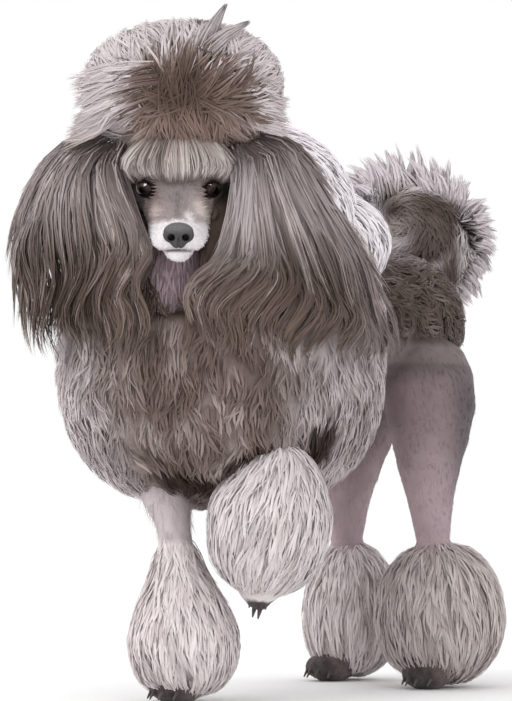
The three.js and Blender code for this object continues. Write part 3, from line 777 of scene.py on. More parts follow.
def at_throat(p):
    """Whether a place of the mane lies over the shaved throat."""
    return (np.abs(ahead_of_mane(p) - THROAT_TURN) < 10.5 * smooth(462, 545, p[..., 2])) & (p[..., 1] < -100)


def toe_line(name, across, short):
    """A toe's knuckle, middle and tip, the way it points, and whether its foot is lifted."""
    heel, toe, lifted = PAWS[name]
    heel, toe = np.array(heel, float), np.array(toe, float)
    across = across * (0.6 if lifted else 1)
    out = unit(np.array([0, -0.35, -1.0])) if lifted else -Y
    knuckle = heel + 0.55 * (toe - heel) + across * X + (0 if lifted else 4) * Z
    tip = toe + across * 1.05 * X - short * out
    return knuckle, (knuckle + tip) / 2 + (0 if lifted else 5) * Z, tip, out, lifted


def paw_forms(name):
    heel, toe, _ = PAWS[name]
    heel, toe = np.array(heel, float), np.array(toe, float)
    forms = [Form([heel, (heel + toe) / 2, heel + 0.8 * (toe - heel)], [21, 26, 21], [25, 22, 15], X, 3)]
    for across, short in TOES:
        knuckle, middle, tip, _, _ = toe_line(name, across, short)
        forms.append(Form([knuckle, middle, tip], [8.5, 10, 7.5], [10.5, 12, 10], X, 3))
    return forms


def midline(*rows):
    """Points of the head given forward and up, on its middle plane."""
    return [head_point(forward, 0, up) for forward, up in rows]


def flesh_forms():
    """Forms of the flesh: body, head with cheeks and jaws, limbs, paws, ear leather, cores of the wool."""
    forms = [
        Ball(MANE_AT, Y, 186, 152, 168, X, 2.3),
        Form([[2, -50, 530], [8, -58, 612], [14, -108, 692]], [112, 132, 82], [110, 130, 76], X, 3),
        Form([[36, -196, 572], [34, -212, 520], [24, -220, 450]], [38, 40, 34], [38, 44, 46], X, 3),
        Ball([20, 60, 586], Y, 98, 108, 66, X, 2.3),
        Ball(TOPKNOT_AT, Z, 74, 118, 108, X, 2.3),
        Form([[0, 80, 485], [0, 180, 492], [0, 266, 504]], [92, 90, 88], [105, 94, 88], X, 6),
        Form([[0, 222, 500], [0, 300, 501], [0, 362, 497], [0, 402, 486]],
             [90, 96, 82, 48], [90, 94, 86, 54], X, 3),
        tail_shaft,
        Ball(tail_disc.path[1], tail_disc.path[2] - tail_disc.path[1], 0.6, 53, 49, tail_disc.side, 2.3),
        Ball(tail_fill.path[1], tail_fill.path[2] - tail_fill.path[1], 0.6, 29, 58, tail_fill.side, 2.3),
        Form(midline((-132, 8), (-95, 6), (-45, 0), (4, -8)), [38, 56, 57, 44], [40, 50, 47, 34], LEFT, 3),
        Form(midline((-40, -20), (0, -22), (50, -30), (97, -34)),
             [45, 36, 29, 23], [30, 26, 22, 18], LEFT, 5),
        Form(midline((-60, -40), (0, -50), (50, -55), (92, -54)),
             [37, 26, 18, 14], [18, 14, 11, 9], LEFT, 4),
    ]
    for s in (-1, 1):
        brow = [head_point(-34, s * 30, -20), head_point(16, s * 22, -33), head_point(66, s * 14, -38)]
        lip = [head_point(4, s * 24, -42), head_point(50, s * 21, -42), head_point(88, s * 14, -42)]
        forms += [
            Ball(head_point(-58, s * 48, 2), UP, 42, 15, 22, LEFT),
            Ball(head_point(-84, s * 58, 4), UP, 58, 22, 24, LEFT),
            Form(brow, [15, 13.5, 12], [20, 15, 12], LEFT, 3),
            Form(lip, [9, 12, 12], [9, 10, 10], LEFT, 3),
            Ball(head_point(-22, s * 30, 21), LEFT, 18, 15, 9, FORWARD),
        ]
    forms += list(LIMBS.values())
    for name, bracelet in BRACELETS.items():
        forms.append(Form(bracelet.path, bracelet.sizes[:, 0] * CORE, bracelet.sizes[:, 1] * CORE, X, 3))
        forms += paw_forms(name)
    return forms + [ear_flap(name) for name in EAR_GUIDES]


FLESH = flesh_forms()


def coarse_field(points):
    """Distance from the flesh, the forms blended where they meet."""
    field = np.full(len(points), FAR)
    for form in FLESH:
        low, high = form.box(ROOM)
        near = np.flatnonzero(np.all((points > low) & (points < high), axis=1))
        if len(near):
            field[near] = union(field[near], form.distance(points[near]), BLEND)
    return np.maximum(field, -points[:, 2])


def fine_field(points):
    """The flesh with lids, eye sockets and the line of the mouth."""
    field = coarse_field(points)
    near = np.flatnonzero(distance_to(points, head_point(35, 0, -20)) < 120)
    p = points[near]
    f = field[near]
    for s in (-1, 1):
        opening, away = eye_opening(p, s)
        socket = EYE_RADIUS + LID_THICKNESS + 0.6 - distance_to(p, eye_at(s) + 6.5 * eye_facing(s))
        f = -union(-f, -socket, 2.0)
        lid = -union(LID_THICKNESS / 2 - np.abs(away - EYE_RADIUS - LID_THICKNESS / 2), -opening, 1.2)
        f = union(f, lid, 2.5)
        f = np.maximum(f, EYE_RADIUS + 0.25 - away)
    forward, left, up = face_frame(p)
    f = f + 2.8 * ridge(above_mouth(p), 0, 1.9) * smooth(20, 50, forward)
    front = smooth(88, 99, forward) * smooth(-47, -43, up)
    field[near] = f + 1.6 * front * ridge(left, 0, 1.5)
    return field


def field_and_slope(points):
    """The fine field at points and the way that it grows."""
    e = 0.4
    f = fine_field(points)
    return f, np.stack([(fine_field(points + e * axis) - f) / e for axis in (X, Y, Z)], 1)


def settle(points, rounds):
    """Moves points onto the surface of the flesh."""
    for _ in range(rounds):
        f, slope = field_and_slope(points)
        steep = np.linalg.norm(slope, axis=1)
        points = points - unit(slope) * np.clip(f / np.maximum(steep, 0.4), -2.5, 2.5)[:, None]
    return points


# Where the skin's mesh is made finer: middle, reach, and how often its points settle
FINE_PLACES = [
    (head_point(40, 0, -15), 98, 2), (head_point(40, 0, -15), 92, 2),
    (eye_at(1), 23, 3), (eye_at(-1), 23, 3), (head_point(84, 0, -46), 30, 2),
]


def skin_shape():
    """Closed surface of the flesh, finer over the face, as a bmesh in millimetres."""
    axes = [np.arange(low, high, SKIN_GRID) for low, high in zip(SKIN_LOW, SKIN_HIGH)]
    grid = np.stack(np.meshgrid(*axes, indexing="ij"), -1)
    field = coarse_field(grid.reshape(-1, 3)).reshape(grid.shape[:3])
    volume = openvdb.FloatGrid(FAR)
    volume.copyFromArray(field.astype(np.float32))
    points, triangles, quads = volume.convertToPolygons(0.0, 0.0)
    shape = bmesh.new()
    vertices = [shape.verts.new(p) for p in settle(points * SKIN_GRID + SKIN_LOW, 1)]
    for face in list(quads) + list(triangles):
        shape.faces.new([vertices[i] for i in face])
    for middle, reach, rounds in FINE_PLACES:
        near = [f for f in shape.faces if (f.calc_center_median() - Vector(middle)).length < reach]
        edges = list({e for f in near for e in f.edges})
        bmesh.ops.subdivide_edges(shape, edges=edges, cuts=1, use_grid_fill=True)
        close = [v for v in shape.verts if (v.co - Vector(middle)).length < reach + 8]
        for vertex, place in zip(close, settle(np.array([v.co for v in close]), rounds)):
            vertex.co = place
    bmesh.ops.triangulate(shape, faces=[f for f in shape.faces if len(f.verts) > 4])
    bmesh.ops.recalc_face_normals(shape, faces=shape.faces)
    return shape


def face_colour(p):
    """Short hair of the face: grey bridge, white muzzle, pale cheeks, dark lids, stained inner corners,
    painted shadow under the fringe, painted shade under the ears, a painted reflection along the lower lids.
    """
    forward, left, up = face_frame(p)
    drop = -FORWARD_RISE * forward - UP_RISE * up
    drop = drop + 1.6 * bumps(p, 7, 2)
    cheeks = 0.95 * smooth(-20, 0, forward)
    white = smooth(24.5, 31, drop - 0.1 * np.abs(left)) * smooth(14, 40, forward)
    wedge = ridge(left - 0.5 * (drop - 22), 11, 5.0) * smooth(17, 24, drop)
    layers = [
        (0.9 * ridge(left, 0, 19) * smooth(40, 24, drop), 146, 136, 136),
        (0.5 * ridge(left, -1, 3) * smooth(-6, 4, drop) * smooth(30, 20, drop), 106, 96, 96),
        # Painted shadow of the fringe: a darker band across the bridge just under it
        (0.7 * ridge(drop, -10, 3.5) * smooth(26, 16, np.abs(left)), 104, 90, 86),
        (cheeks * ridge(left - 0.3 * (drop - 17), -31, 10) * ridge(drop, 17, 9), 206, 190, 186),
        (cheeks * ridge(left - 0.3 * (drop - 16), 28, 12) * ridge(drop, 16, 12), 230, 216, 213),
        (np.maximum(white, 0.9 * wedge * (forward > 30)), 222, 216, 218),
        (0.6 * ridge(above_mouth(p), 3, 3.5) * smooth(24, 40, forward), 150, 140, 142),
    ]
    for s in (-1, 1):
        opening, away = eye_opening(p, s)
        away = away - EYE_RADIUS
        stain = distance_to(p, head_point(8, s * 30, -17))
        inner = distance_to(p, eye_at(s) + 9 * FORWARD - s * 17 * LEFT - 7 * UP)
        below = (p - eye_at(s)) @ UP < 0
        layers += [
            (0.75 * smooth(12, 3, away), 112, 93, 88),
            (0.7 * ridge(stain, 0, 10), 98, 72, 65),
            (0.8 * ridge(inner, 0, 7), 140, 86, 82),
            # Painted reflection: a pale line along the lower lid
            (0.75 * ridge(opening, -5.4, 1.1) * below * smooth(8, 5, away), 190, 172, 166),
            (smooth(-5.2, -2.6, opening) * smooth(6.5, 3.5, away), 34, 26, 26),
        ]
    base = mixed(shade(104, 91, 87), shade(146, 133, 130), smooth(-30, 16, forward))
    return laid(base, *layers,
                # Painted shade of the ears: dark brown at the sides of the face under them
                (smooth(40, 50, np.abs(left)) * smooth(-24, -40, forward), 74, 62, 58),
                (ridge(above_mouth(p), 0, 1.5) * smooth(20, 40, forward), 40, 31, 33))


def leg_colour(p):
    """Shaved legs and quarters: mauve in front, slate towards the back; paws grey and darker at the toes."""
    x, y, z = np.moveaxis(p, -1, 0)
    behind = y + 0.75 * x * (x > 0)
    back = smooth(345, 405, behind) * smooth(150, 330, z)
    rear = smooth(90, 130, y)
    base = laid(shade(166, 147, 153), (smooth(200, 400, z), 124, 108, 111), (back, 86, 77, 81))
    base = mixed(base, base * 1.2, np.clip(bumps(p, 40, 2) * smooth(0, 60, y), 0, 1))
    base = laid(base,
                (smooth(-100, -130, y) * smooth(330, 280, z), 188, 176, 178),
                (rear * smooth(SADDLE_EDGE - 34, SADDLE_EDGE - 6, z), 106, 94, 97),
                (0.6 * rear * ridge(z, SADDLE_EDGE - 3, 5), 88, 76, 78))
    for heel, toe, _ in PAWS.values():
        foot = smooth(54, 38, distance_to(p, (np.array(heel) + np.array(toe)) / 2))
        tips = smooth(46, 16, distance_to(p, np.array(toe)))
        grey = mixed(shade(108, 97, 95), shade(72, 64, 64), tips)
        base = mixed(base, grey * (1 + 0.6 * bumps(p, 9, 2))[..., None], foot)
    return base


def tail_colour(p, t, tone):
    """Pale outer locks, a dark core along the tail and painted shade in the hollow of its curl."""
    aside = p @ tail_disc.side
    up = p[..., 2]
    away = np.min([np.hypot(aside - a, up - z) for a, z in TAIL_LINE], axis=0) + 10 * (tone - 0.5)
    outside = smooth(50, 62, np.hypot((aside - 230) / 1.15, up - 642))
    return laid(shade(142, 130, 126),
                (smooth(190, 246, aside - 0.3 * (up - 650)), 92, 80, 76),
                (smooth(192, 172, aside), 206, 198, 202),
                (0.8 * ridge(aside, 200, 20) * ridge(up, 622, 16), 204, 196, 199),
                (outside * smooth(12, 30, away), 200, 191, 195),
                (0.85 * smooth(22, 6, away) * smooth(215, 245, aside), 78, 65, 59),
                (0.85 * smooth(284, 300, aside) * smooth(0.2, 0.5, t), 196, 187, 190),
                # Painted shade in the hollow of the curl
                (0.9 * ridge(aside, 198, 22) * ridge(up, 672, 14), 44, 33, 29),
                (0.6 * outside * smooth(0.3, 0.1, tone), 116, 104, 104))


def topknot_colour(p, t, tone):
    """Dark brown round the parting, breaking into a pale rim; pinkish brow, cream right corner."""
    q = p - TOPKNOT_FRONT
    aside = q @ LEFT
    above = q[..., 2]
    across = aside / np.where(aside < 0, 76, 106)
    far = np.hypot(across, above / np.where(above < 0, 70, 64)) + 0.8 * (tone - 0.5)
    behind = smooth(-50, -110, (p - TOPKNOT_AT) @ FORWARD)
    return laid(shade(86, 68, 61),
                (smooth(0.2, 0.9, far), 122, 104, 96),
                (np.maximum(smooth(0.84, 1.04, far + 0.06 * t), 0.9 * behind), 192, 182, 184),
                (0.75 * smooth(-14, -40, above) * smooth(1.1, 0.7, np.abs(across)), 146, 123, 115),
                (0.75 * smooth(-30, -62, aside) * smooth(-34, -54, above), 204, 188, 176))


def ear_colour(name, share, t, tone):
    """Dark at the top, grey and streaked below it, brown with painted shade in a hollow among the lower
    curls.
    """
    low = smooth(0.5, 0.74, t + 0.12 * (tone - 0.5))
    middle = ridge(t, 0.45, 0.17)
    if name == "left":
        own = [
            (0.75 * ridge(share, 0.86, 0.14) * ridge(t, 0.38, 0.18), 188, 178, 180),
            (0.8 * smooth(0.4, 0.1, share) * smooth(0.5, 0.7, t), 132, 120, 120),
            # Painted shade in the hollow among the lower curls
            (0.75 * ridge(share, 0.55, 0.22) * ridge(t, 0.72, 0.1), 60, 46, 40),
        ]
        grey = (middle, 158, 146, 145)
    else:
        own = [
            (0.55 * ridge(share, 0.25, 0.3) * ridge(t, 0.42, 0.16), 160, 148, 148),
            # Painted shade in the hollow among the lower curls
            (0.75 * ridge(share, 0.45, 0.3) * ridge(t, 0.78, 0.15), 60, 46, 40),
            (0.6 * smooth(0.9, 1.0, share) * smooth(0.65, 0.45, t), 78, 66, 62),
        ]
        grey = (middle, 134, 122, 120)
    streaks = 0.7 * smooth(0.66, 0.9, tone) * (1 - 0.4 * low)
    colour = laid(shade(82, 72, 69), grey, (0.92 * low, 104, 88, 80), *own,
                  (streaks, 182, 171, 170), (0.6 * smooth(0.36, 0.12, tone), 64, 52, 47))
    return toned(colour, tone, 0.3)


def mane_colour(p):
    """Brown breast with lighter and darker patches, pale flanks and back, dark beside the throat, painted
    shade at its foot.
    """
    turn = ahead_of_mane(p)
    pale = np.maximum(smooth(8, -34, turn) * 0.9, 0.6 * smooth(44, 90, turn))
    pale = np.maximum(pale, smooth(110, 145, np.abs(turn)))
    patch = bumps(p, 34, 4)
    # Painted shade: near-black brown in the gaps at the foot of the mane
    painted_shadows = [(0.92 * smooth(1.3, 0.6, distance_to(p, at) / reach), 46, 33, 27) for at, reach in MANE_PAINTED_SHADOWS]
    return laid(shade(118, 103, 98),
                (smooth(0.05, 0.5, patch), 148, 135, 132),
                (0.8 * smooth(-0.05, -0.5, patch), 92, 77, 70),
                (pale * (0.85 + 0.4 * patch), 208, 198, 200),
                (0.85 * smooth(430, 470, p[..., 2]) * smooth(42, 18, np.abs(turn - THROAT_TURN)), 82, 66, 58),
                *painted_shadows)


def skin_colour(p):
    """Markings of the skin, region by region, as the coat over it carries them, with painted shade under the
    ears.
    """
    _, y, z = np.moveaxis(p, -1, 0)
    forward, left, up = face_frame(p)
    mane = 1 - smooth(0.98, 1.02, np.linalg.norm((p - MANE_AT) / [164, 205, 182], axis=-1))
    neck = smooth(455, 480, z) * smooth(110, 60, y) * smooth(-160, -120, y)
    out = laid(leg_colour(p), (mane, 84, 70, 64), (neck, 186, 176, 180))
    for place, form in BRACELETS.items():
        low, high = form.path[:, 2].min(), form.path[:, 2].max()
        tips, roots, _ = BRACELET_SHADES[place]
        close = distance_to(p[..., :2], form.path[:, :2].mean(0)) < 84
        close = close * (z > max(42, low - 8)) * smooth(high - 6, high - 16, z)
        out = mixed(out, 0.5 * (tips + roots), close)
    rear = smooth(96, 120, y)
    out = laid(out,
               (rear * smooth(SADDLE_EDGE - 2, SADDLE_EDGE + 4, z), 112, 101, 100),
               (rear * smooth(SADDLE_EDGE + 24, SADDLE_EDGE + 36, z), 76, 63, 58))
    half = np.full(z.shape, 0.5)
    out = mixed(out, tail_colour(p, half, half), smooth(525, 545, z) * smooth(300, 330, y))
    # Painted shade: dark brown on the skin round the ears' leather, where they hang
    out = laid(out, (near_ears(p) * smooth(60, 70, np.abs(left)) * (y < 0), 92, 80, 76))
    out = mixed(out, face_colour(p), smooth(-52, -36, forward) * smooth(520, 545, z + 0.3 * forward))
    crown = smooth(28, 44, up) * smooth(455, 500, z) * (y < 0)
    out = mixed(out, topknot_colour(p, half, half) * 0.9, crown)
    return laid(out, (smooth(-60, -70, up) * smooth(470, 490, z) * smooth(-160, -190, y), 184, 162, 170))


def node(tree, kind, **values):
    """A node of a finish, with its settings."""
    made = tree.nodes.new(kind)
    for name, value in values.items():
        if name in made.inputs:
            made.inputs[name].default_value = value
        else:
            setattr(made, name, value)
    return made


def grain_group():
    """Mottling on object coordinates and fine grain along a given vector, over a colour."""
    group = bpy.data.node_groups.new("coat grain", "ShaderNodeTree")
    sockets = [("Colour", "Color", "INPUT"), ("Vector", "Vector", "INPUT")]
    for what in ("size", "amount"):
        sockets += [(f"{kind} {what}", "Float", "INPUT") for kind in ("Patch", "Grain")]
    sockets += [("Colour", "Color", "OUTPUT"), ("Height", "Float", "OUTPUT")]
    for name, kind, way in sockets:
        group.interface.new_socket(name=name, in_out=way, socket_type="NodeSocket" + kind)
    start = node(group, "NodeGroupInput")
    end = node(group, "NodeGroupOutput")
    place = node(group, "ShaderNodeTexCoord")
    patches = node(group, "ShaderNodeTexNoise", Detail=4.0)
    grain = node(group, "ShaderNodeTexNoise", Detail=2.0)
    link = group.links.new
    link(place.outputs["Object"], patches.inputs["Vector"])
    link(start.outputs["Vector"], grain.inputs["Vector"])
    colour = start.outputs["Colour"]
    for kind, texture in (("Patch", patches), ("Grain", grain)):
        centred = node(group, "ShaderNodeMath", operation="SUBTRACT")
        centred.inputs[1].default_value = 0.5
        strength = node(group, "ShaderNodeMath", operation="MULTIPLY_ADD")
        strength.inputs[2].default_value = 1.0
        varied = node(group, "ShaderNodeVectorMath", operation="SCALE")
        link(start.outputs[f"{kind} size"], texture.inputs["Scale"])
        link(texture.outputs["Fac"], centred.inputs[0])
        link(centred.outputs[0], strength.inputs[0])
        link(start.outputs[f"{kind} amount"], strength.inputs[1])
        link(colour, varied.inputs[0])
        link(strength.outputs[0], varied.inputs["Scale"])
        colour = varied.outputs[0]
    link(colour, end.inputs["Colour"])
    link(grain.outputs["Fac"], end.inputs["Height"])
    return group


GRAIN = grain_group()


def new_material(name, roughness, specular=0.5):
    """A finish with its tree and its shader, before its colour is set."""
    material = bpy.data.materials.new(name)
    material.use_nodes = True
    shader = material.node_tree.nodes["Principled BSDF"]
    shader.inputs["Roughness"].default_value = roughness
    shader.inputs["Specular IOR Level"].default_value = specular
    return material, material.node_tree, shader


def grained_tint(tree, shader, source, patch, patch_amount, grain, grain_amount):
    """Colours a shader by the piece's own tint, with the shared grain on a source of coordinates."""
    tint = node(tree, "ShaderNodeAttribute", attribute_name="tint")
    grained = node(tree, "ShaderNodeGroup", node_tree=GRAIN)
    for kind, size, amount in (("Patch", patch, patch_amount), ("Grain", grain, grain_amount)):
        grained.inputs[f"{kind} size"].default_value = size
        grained.inputs[f"{kind} amount"].default_value = amount
    tree.links.new(source, grained.inputs["Vector"])
    tree.links.new(tint.outputs["Color"], grained.inputs["Colour"])
    tree.links.new(grained.outputs["Colour"], shader.inputs["Base Color"])
    return grained


def add_relief(tree, shader, height, bump, depth):
    """Turns a height into a bump of the finish."""
    relief = node(tree, "ShaderNodeBump", Strength=bump, Distance=depth)
    tree.links.new(height, relief.inputs["Height"])
    tree.links.new(relief.outputs["Normal"], shader.inputs["Normal"])


def coat_material(name, roughness, patch, patch_amount, grain, grain_amount, bump, depth, sheen=0.0,
                  strands=True):
    """A finish coloured by the piece's own tint, with grain along each tuft or over the skin."""
    material, tree, shader = new_material(name, roughness, 0.15)
    shader.inputs["Sheen Weight"].default_value = sheen
    shader.inputs["Sheen Roughness"].default_value = 0.4
    if strands:
        source = node(tree, "ShaderNodeAttribute", attribute_name="strand").outputs["Vector"]
    else:
        source = node(tree, "ShaderNodeTexCoord").outputs["Object"]
    grained = grained_tint(tree, shader, source, patch, patch_amount, grain, grain_amount)
    add_relief(tree, shader, grained.outputs["Height"], bump, depth)
    return material


def eye_material():
    """A clear dark eye: black pupil, brown iris with fibres, dark rim and white."""
    material, tree, shader = new_material("eye", 0.07, 0.14)
    ring = node(tree, "ShaderNodeAttribute", attribute_name="ring")
    fibres = node(tree, "ShaderNodeTexNoise", Scale=1400.0, Detail=3.0)
    place = node(tree, "ShaderNodeTexCoord")
    ramp = node(tree, "ShaderNodeValToRGB")
    steps = [
        (0.0, shade(2, 2, 3)), (0.2, shade(3, 3, 4)), (0.25, shade(30, 20, 18)), (0.42, shade(42, 29, 26)),
        (0.52, shade(18, 12, 12)), (0.68, shade(24, 17, 17)), (0.78, shade(84, 68, 66)),
    ]
    while len(ramp.color_ramp.elements) < len(steps):
        ramp.color_ramp.elements.new(0.5)
    for element, (at, colour) in zip(ramp.color_ramp.elements, steps):
        element.position = at
        element.color = (*colour, 1)
    streaks = node(tree, "ShaderNodeMix", data_type="RGBA", blend_type="MULTIPLY")
    streaks.inputs["Factor"].default_value = 0.5
    link = tree.links.new
    link(place.outputs["Object"], fibres.inputs["Vector"])
    link(ring.outputs["Fac"], ramp.inputs["Fac"])
    link(ramp.outputs["Color"], streaks.inputs["A"])
    link(fibres.outputs["Fac"], streaks.inputs["B"])
    link(streaks.outputs["Result"], shader.inputs["Base Color"])
    return material


def nose_material():
    """Dark pebbled leather."""
    material, tree, shader = new_material("nose leather", 0.42, 0.4)
    place = node(tree, "ShaderNodeTexCoord").outputs["Object"]
    cells = node(tree, "ShaderNodeTexVoronoi", Scale=560.0)
    tree.links.new(place, cells.inputs["Vector"])
    grained_tint(tree, shader, place, 120, 0.5, 1500, 0.4)
    add_relief(tree, shader, cells.outputs["Distance"], 1.0, 0.0009)
    return material


# Finishes of the coat and the skin
long_hair = coat_material("long hair", 0.65, 20, 0.35, 1.0, 0.7, 0.3, 0.0004, 0.05)
wool = coat_material("wool", 0.85, 16, 0.4, 1.0, 0.8, 0.4, 0.0005, 0.08)
short_hair = coat_material("short hair", 0.8, 30, 0.4, 900, 0.5, 0.6, 0.0007, 0.15, strands=False)
fine_hair = coat_material("fine hair", 0.85, 30, 0.3, 1.0, 0.5, 0.2, 0.0002, 0.1)


def make_skin():
    shape = skin_shape()
    shape.verts.ensure_lookup_table()
    points = np.array([v.co for v in shape.verts])
    corners = []
    sizes = []
    for face in shape.faces:
        corners += [v.index for v in face.verts]
        sizes.append(len(face.verts))
    shape.free()
    piece = make_mesh("skin", points, np.array(corners), np.array(sizes), skin_colour(points))
    limbs = [f"{part}_{place}" for place in LIMBS for part in ("leg", "paw")]
    finish_piece(piece, short_hair, "short_coat", "head", *limbs)
    return points, np.array(corners), np.array(sizes)


def make_eyes():
    material = eye_material()
    pieces = []
    for side, s in (("left", 1), ("right", -1)):
        angles = np.radians(np.concatenate([np.linspace(180, 70, 12), np.linspace(64, 0, 22)]))
        bulge = EYE_RADIUS * (1 + 0.07 * smooth(math.radians(38), math.radians(8), angles))
        profile = np.stack([np.cos(angles) * bulge, np.sin(angles) * bulge], 1)
        points, corners, sizes = lathe(profile, eye_at(s), eye_facing(s), 40, UP)
        piece = make_mesh(f"eyeball_{side}", points, corners, sizes)
        turned = np.arccos(np.clip(unit(points - eye_at(s)) @ eye_facing(s), -1, 1)) / np.pi * 2
        add_values(piece, "ring", "FLOAT", "value", turned)
        finish_piece(piece, material, "eye", f"eye_{side}")
        pieces.append(piece)
    return pieces


def nose_field(p):
    """The nose leather: a broad pad over a narrow foot, outward nostrils and a groove between them."""
    pad = Form(midline((88, -21), (100, -21), (110, -23)), [14, 17, 13], [8.5, 10, 8], LEFT, 3)
    foot = Form(midline((90, -33), (102, -33), (109, -34)), [9, 9.5, 7], [7.5, 7.5, 6], LEFT, 3)
    f = union(pad.distance(p), foot.distance(p), 7)
    for s in (-1, 1):
        f = union(f, Ball(head_point(101, s * 10.5, -25), FORWARD, 10.5, 7.5, 8, LEFT).distance(p), 4)
        line = [head_point(116, s * 7.0, -26), head_point(107, s * 9.2, -25), head_point(98, s * 19, -21)]
        opening = Form(line, [3.8, 4.2, 1.6], [3.4, 3.8, 1.5], UP, 3)
        f = -union(-f, opening.distance(p), 1.5)
    _, left, up = face_frame(p)
    return f + 1.8 * ridge(left, 0, 1.1) * smooth(-22, -29, up)


def make_nose():
    middle = head_point(*NOSE_AT)
    count = 60
    axes = (np.arange(count) - count / 2) * NOSE_GRID
    grid = np.stack(np.meshgrid(axes, axes, axes, indexing="ij"), -1).reshape(-1, 3)
    field = nose_field(grid + middle).reshape(count, count, count).astype(np.float32)
    volume = openvdb.FloatGrid(20.0)
    volume.copyFromArray(field)
    points, triangles, quads = volume.convertToPolygons(0.0, 0.0)
    points = points * NOSE_GRID - count / 2 * NOSE_GRID + middle
    faces = [list(f) for f in quads] + [list(f) for f in triangles]
    corners = np.array([i for f in faces for i in f])
    sizes = np.array([len(f) for f in faces])
    nostrils = np.min([distance_to(points, head_point(108, s * 8.8, -25)) for s in (-1, 1)], axis=0)
    # Painted light: the leather lighter grey on its top plane than on its front
    tint = mixed(shade(62, 58, 58), shade(98, 97, 98), smooth(-22, -13, face_frame(points)[2]))
    # Painted shade: near-black in the openings of the nostrils
    tint = mixed(tint, shade(8, 6, 7), smooth(6.4, 4.2, nostrils))
    piece = make_mesh("nose_leather", points, corners, sizes, tint)
    finish_piece(piece, nose_material(), "nose_leather", "nose")


def make_claws():
    paths, outs = [], []
    rows, sides = 8, 10
    for name in PAWS:
        for across, short in TOES:
            _, _, tip, out, lifted = toe_line(name, across, short)
            root = tip - 3 * out + (0 if lifted else 2) * Z
            middle = root + 9 * out + (0 if lifted else 1) * Z
            point = root + CLAW_LENGTH * out - (0 if lifted else 7) * Z
            paths.append(spline([root, middle, point], np.linspace(0, 1, rows)))
            outs.append(-Y if lifted else Z)
    paths = np.array(paths)
    count = len(paths)
    along = unit(np.gradient(paths, axis=1))
    over = unit(flat_on(np.array(outs)[:, None], along))
    side = np.cross(along, over)
    taper = (np.linspace(1, 0.12, rows) ** 0.7)[:, None, None]
    angle = np.linspace(0, 2 * np.pi, sides, endpoint=False)[:, None]
    wide = CLAW_HALF_WIDTH * np.cos(angle) * side[:, :, None]
    deep = CLAW_HALF_DEPTH * np.sin(angle) * over[:, :, None]
    rings = (paths[:, :, None] + taper * (wide + deep)).reshape(count, -1, 3)
    points = np.concatenate([paths[:, :1] - along[:, :1], rings, paths[:, -1:] + 0.5 * along[:, -1:]], 1)
    corners, sizes, _ = wrapped(rows, sides)
    corners = (corners[::-1] + np.arange(count)[:, None] * points.shape[1]).ravel()
    grow = np.concatenate([[0], np.repeat(np.linspace(0, 1, rows), sides), [1]])
    tint = mixed(shade(52, 47, 50), shade(92, 84, 84), np.tile(grow, count))
    piece = make_mesh("claws", points.reshape(-1, 3), corners, np.tile(sizes[::-1], count), tint)
    horn = coat_material("claw horn", 0.35, 60, 0.4, 400, 0.4, 0.2, 0.0005, strands=False)
    finish_piece(piece, horn, "nose_leather")


def make_topknot():
    draw = np.random.default_rng(21)

    def flow(p):
        q = p - TOPKNOT_FRONT
        parting = TOPKNOT_FRONT + np.clip(q @ LEFT, -24, 18)[:, None] * (LEFT + 0.4 * Z) - 16 * Z
        swirl = 0.8 * bumps(p, 44, 2) + draw.normal(0, 0.18, len(p))
        way = unit(p - parting)
        return way + swirl[:, None] * np.cross(way, FORWARD)

    guides, outs, uv = brushed(topknot_outer, 740, draw, flow, 96, 15, 4, 6, 0.01, 0.99, sway=0.2)
    coats = [hairs(guides, outs, uv, 7, 12, 2.2, 1.7, draw, wave=5, waves=0.8, short=0.4, tones=(0.12, 0.07))]
    for order, (rows, count) in enumerate(FANS):
        across = draw.uniform(0, 1, count)
        knots = [spline(row, across) + draw.normal(0, 3, (count, 3)) for row in rows]
        late = draw.uniform(-0.3, 0.9, (count, 1))
        knots[0] = knots[0] + late * (knots[1] - knots[0]) - (10 + 8 * late) * FORWARD
        outs = unit(knots[-2] - TOPKNOT_AT + 30 * FORWARD)
        uv = np.stack([0.2 + 0.5 * order + 0.1 * across, 0.4 + 0.2 * across], 1)
        coats.append(hairs(through(knots, 6), outs, uv, 9, 9, 2.4, 1.7, draw, wave=3, short=0.3,
                           tones=(0.13, 0.07)))
    for order, knots in enumerate(SPIKES):
        guide = spline(knots, np.linspace(0, 1, 6))[None]
        uv = np.array([[0.9, 0.1 + 0.1 * order]])
        coats.append(hairs(guide, FORWARD[None], uv, 34, 11, 0.8, 1.5, draw, wave=1, short=0.12, early=1.4,
                           tones=(0.0, 0.2)))
    ends = [np.array(knots[-1]) for knots in SPIKES]

    def paint(p, t, tone):
        colour = topknot_colour(p, t, tone)
        away = np.min([distance_to(p, end) for end in ends], axis=0)
        colour = mixed(colour, shade(56, 38, 44), 0.9 * smooth(26, 9, away) * smooth(0.85, 0.5, tone))
        return toned(colour, tone, 0.45)

    tuft_pieces("topknot_hair", coat_of(joined(*coats), paint), long_hair, "topknot_coat", "topknot")


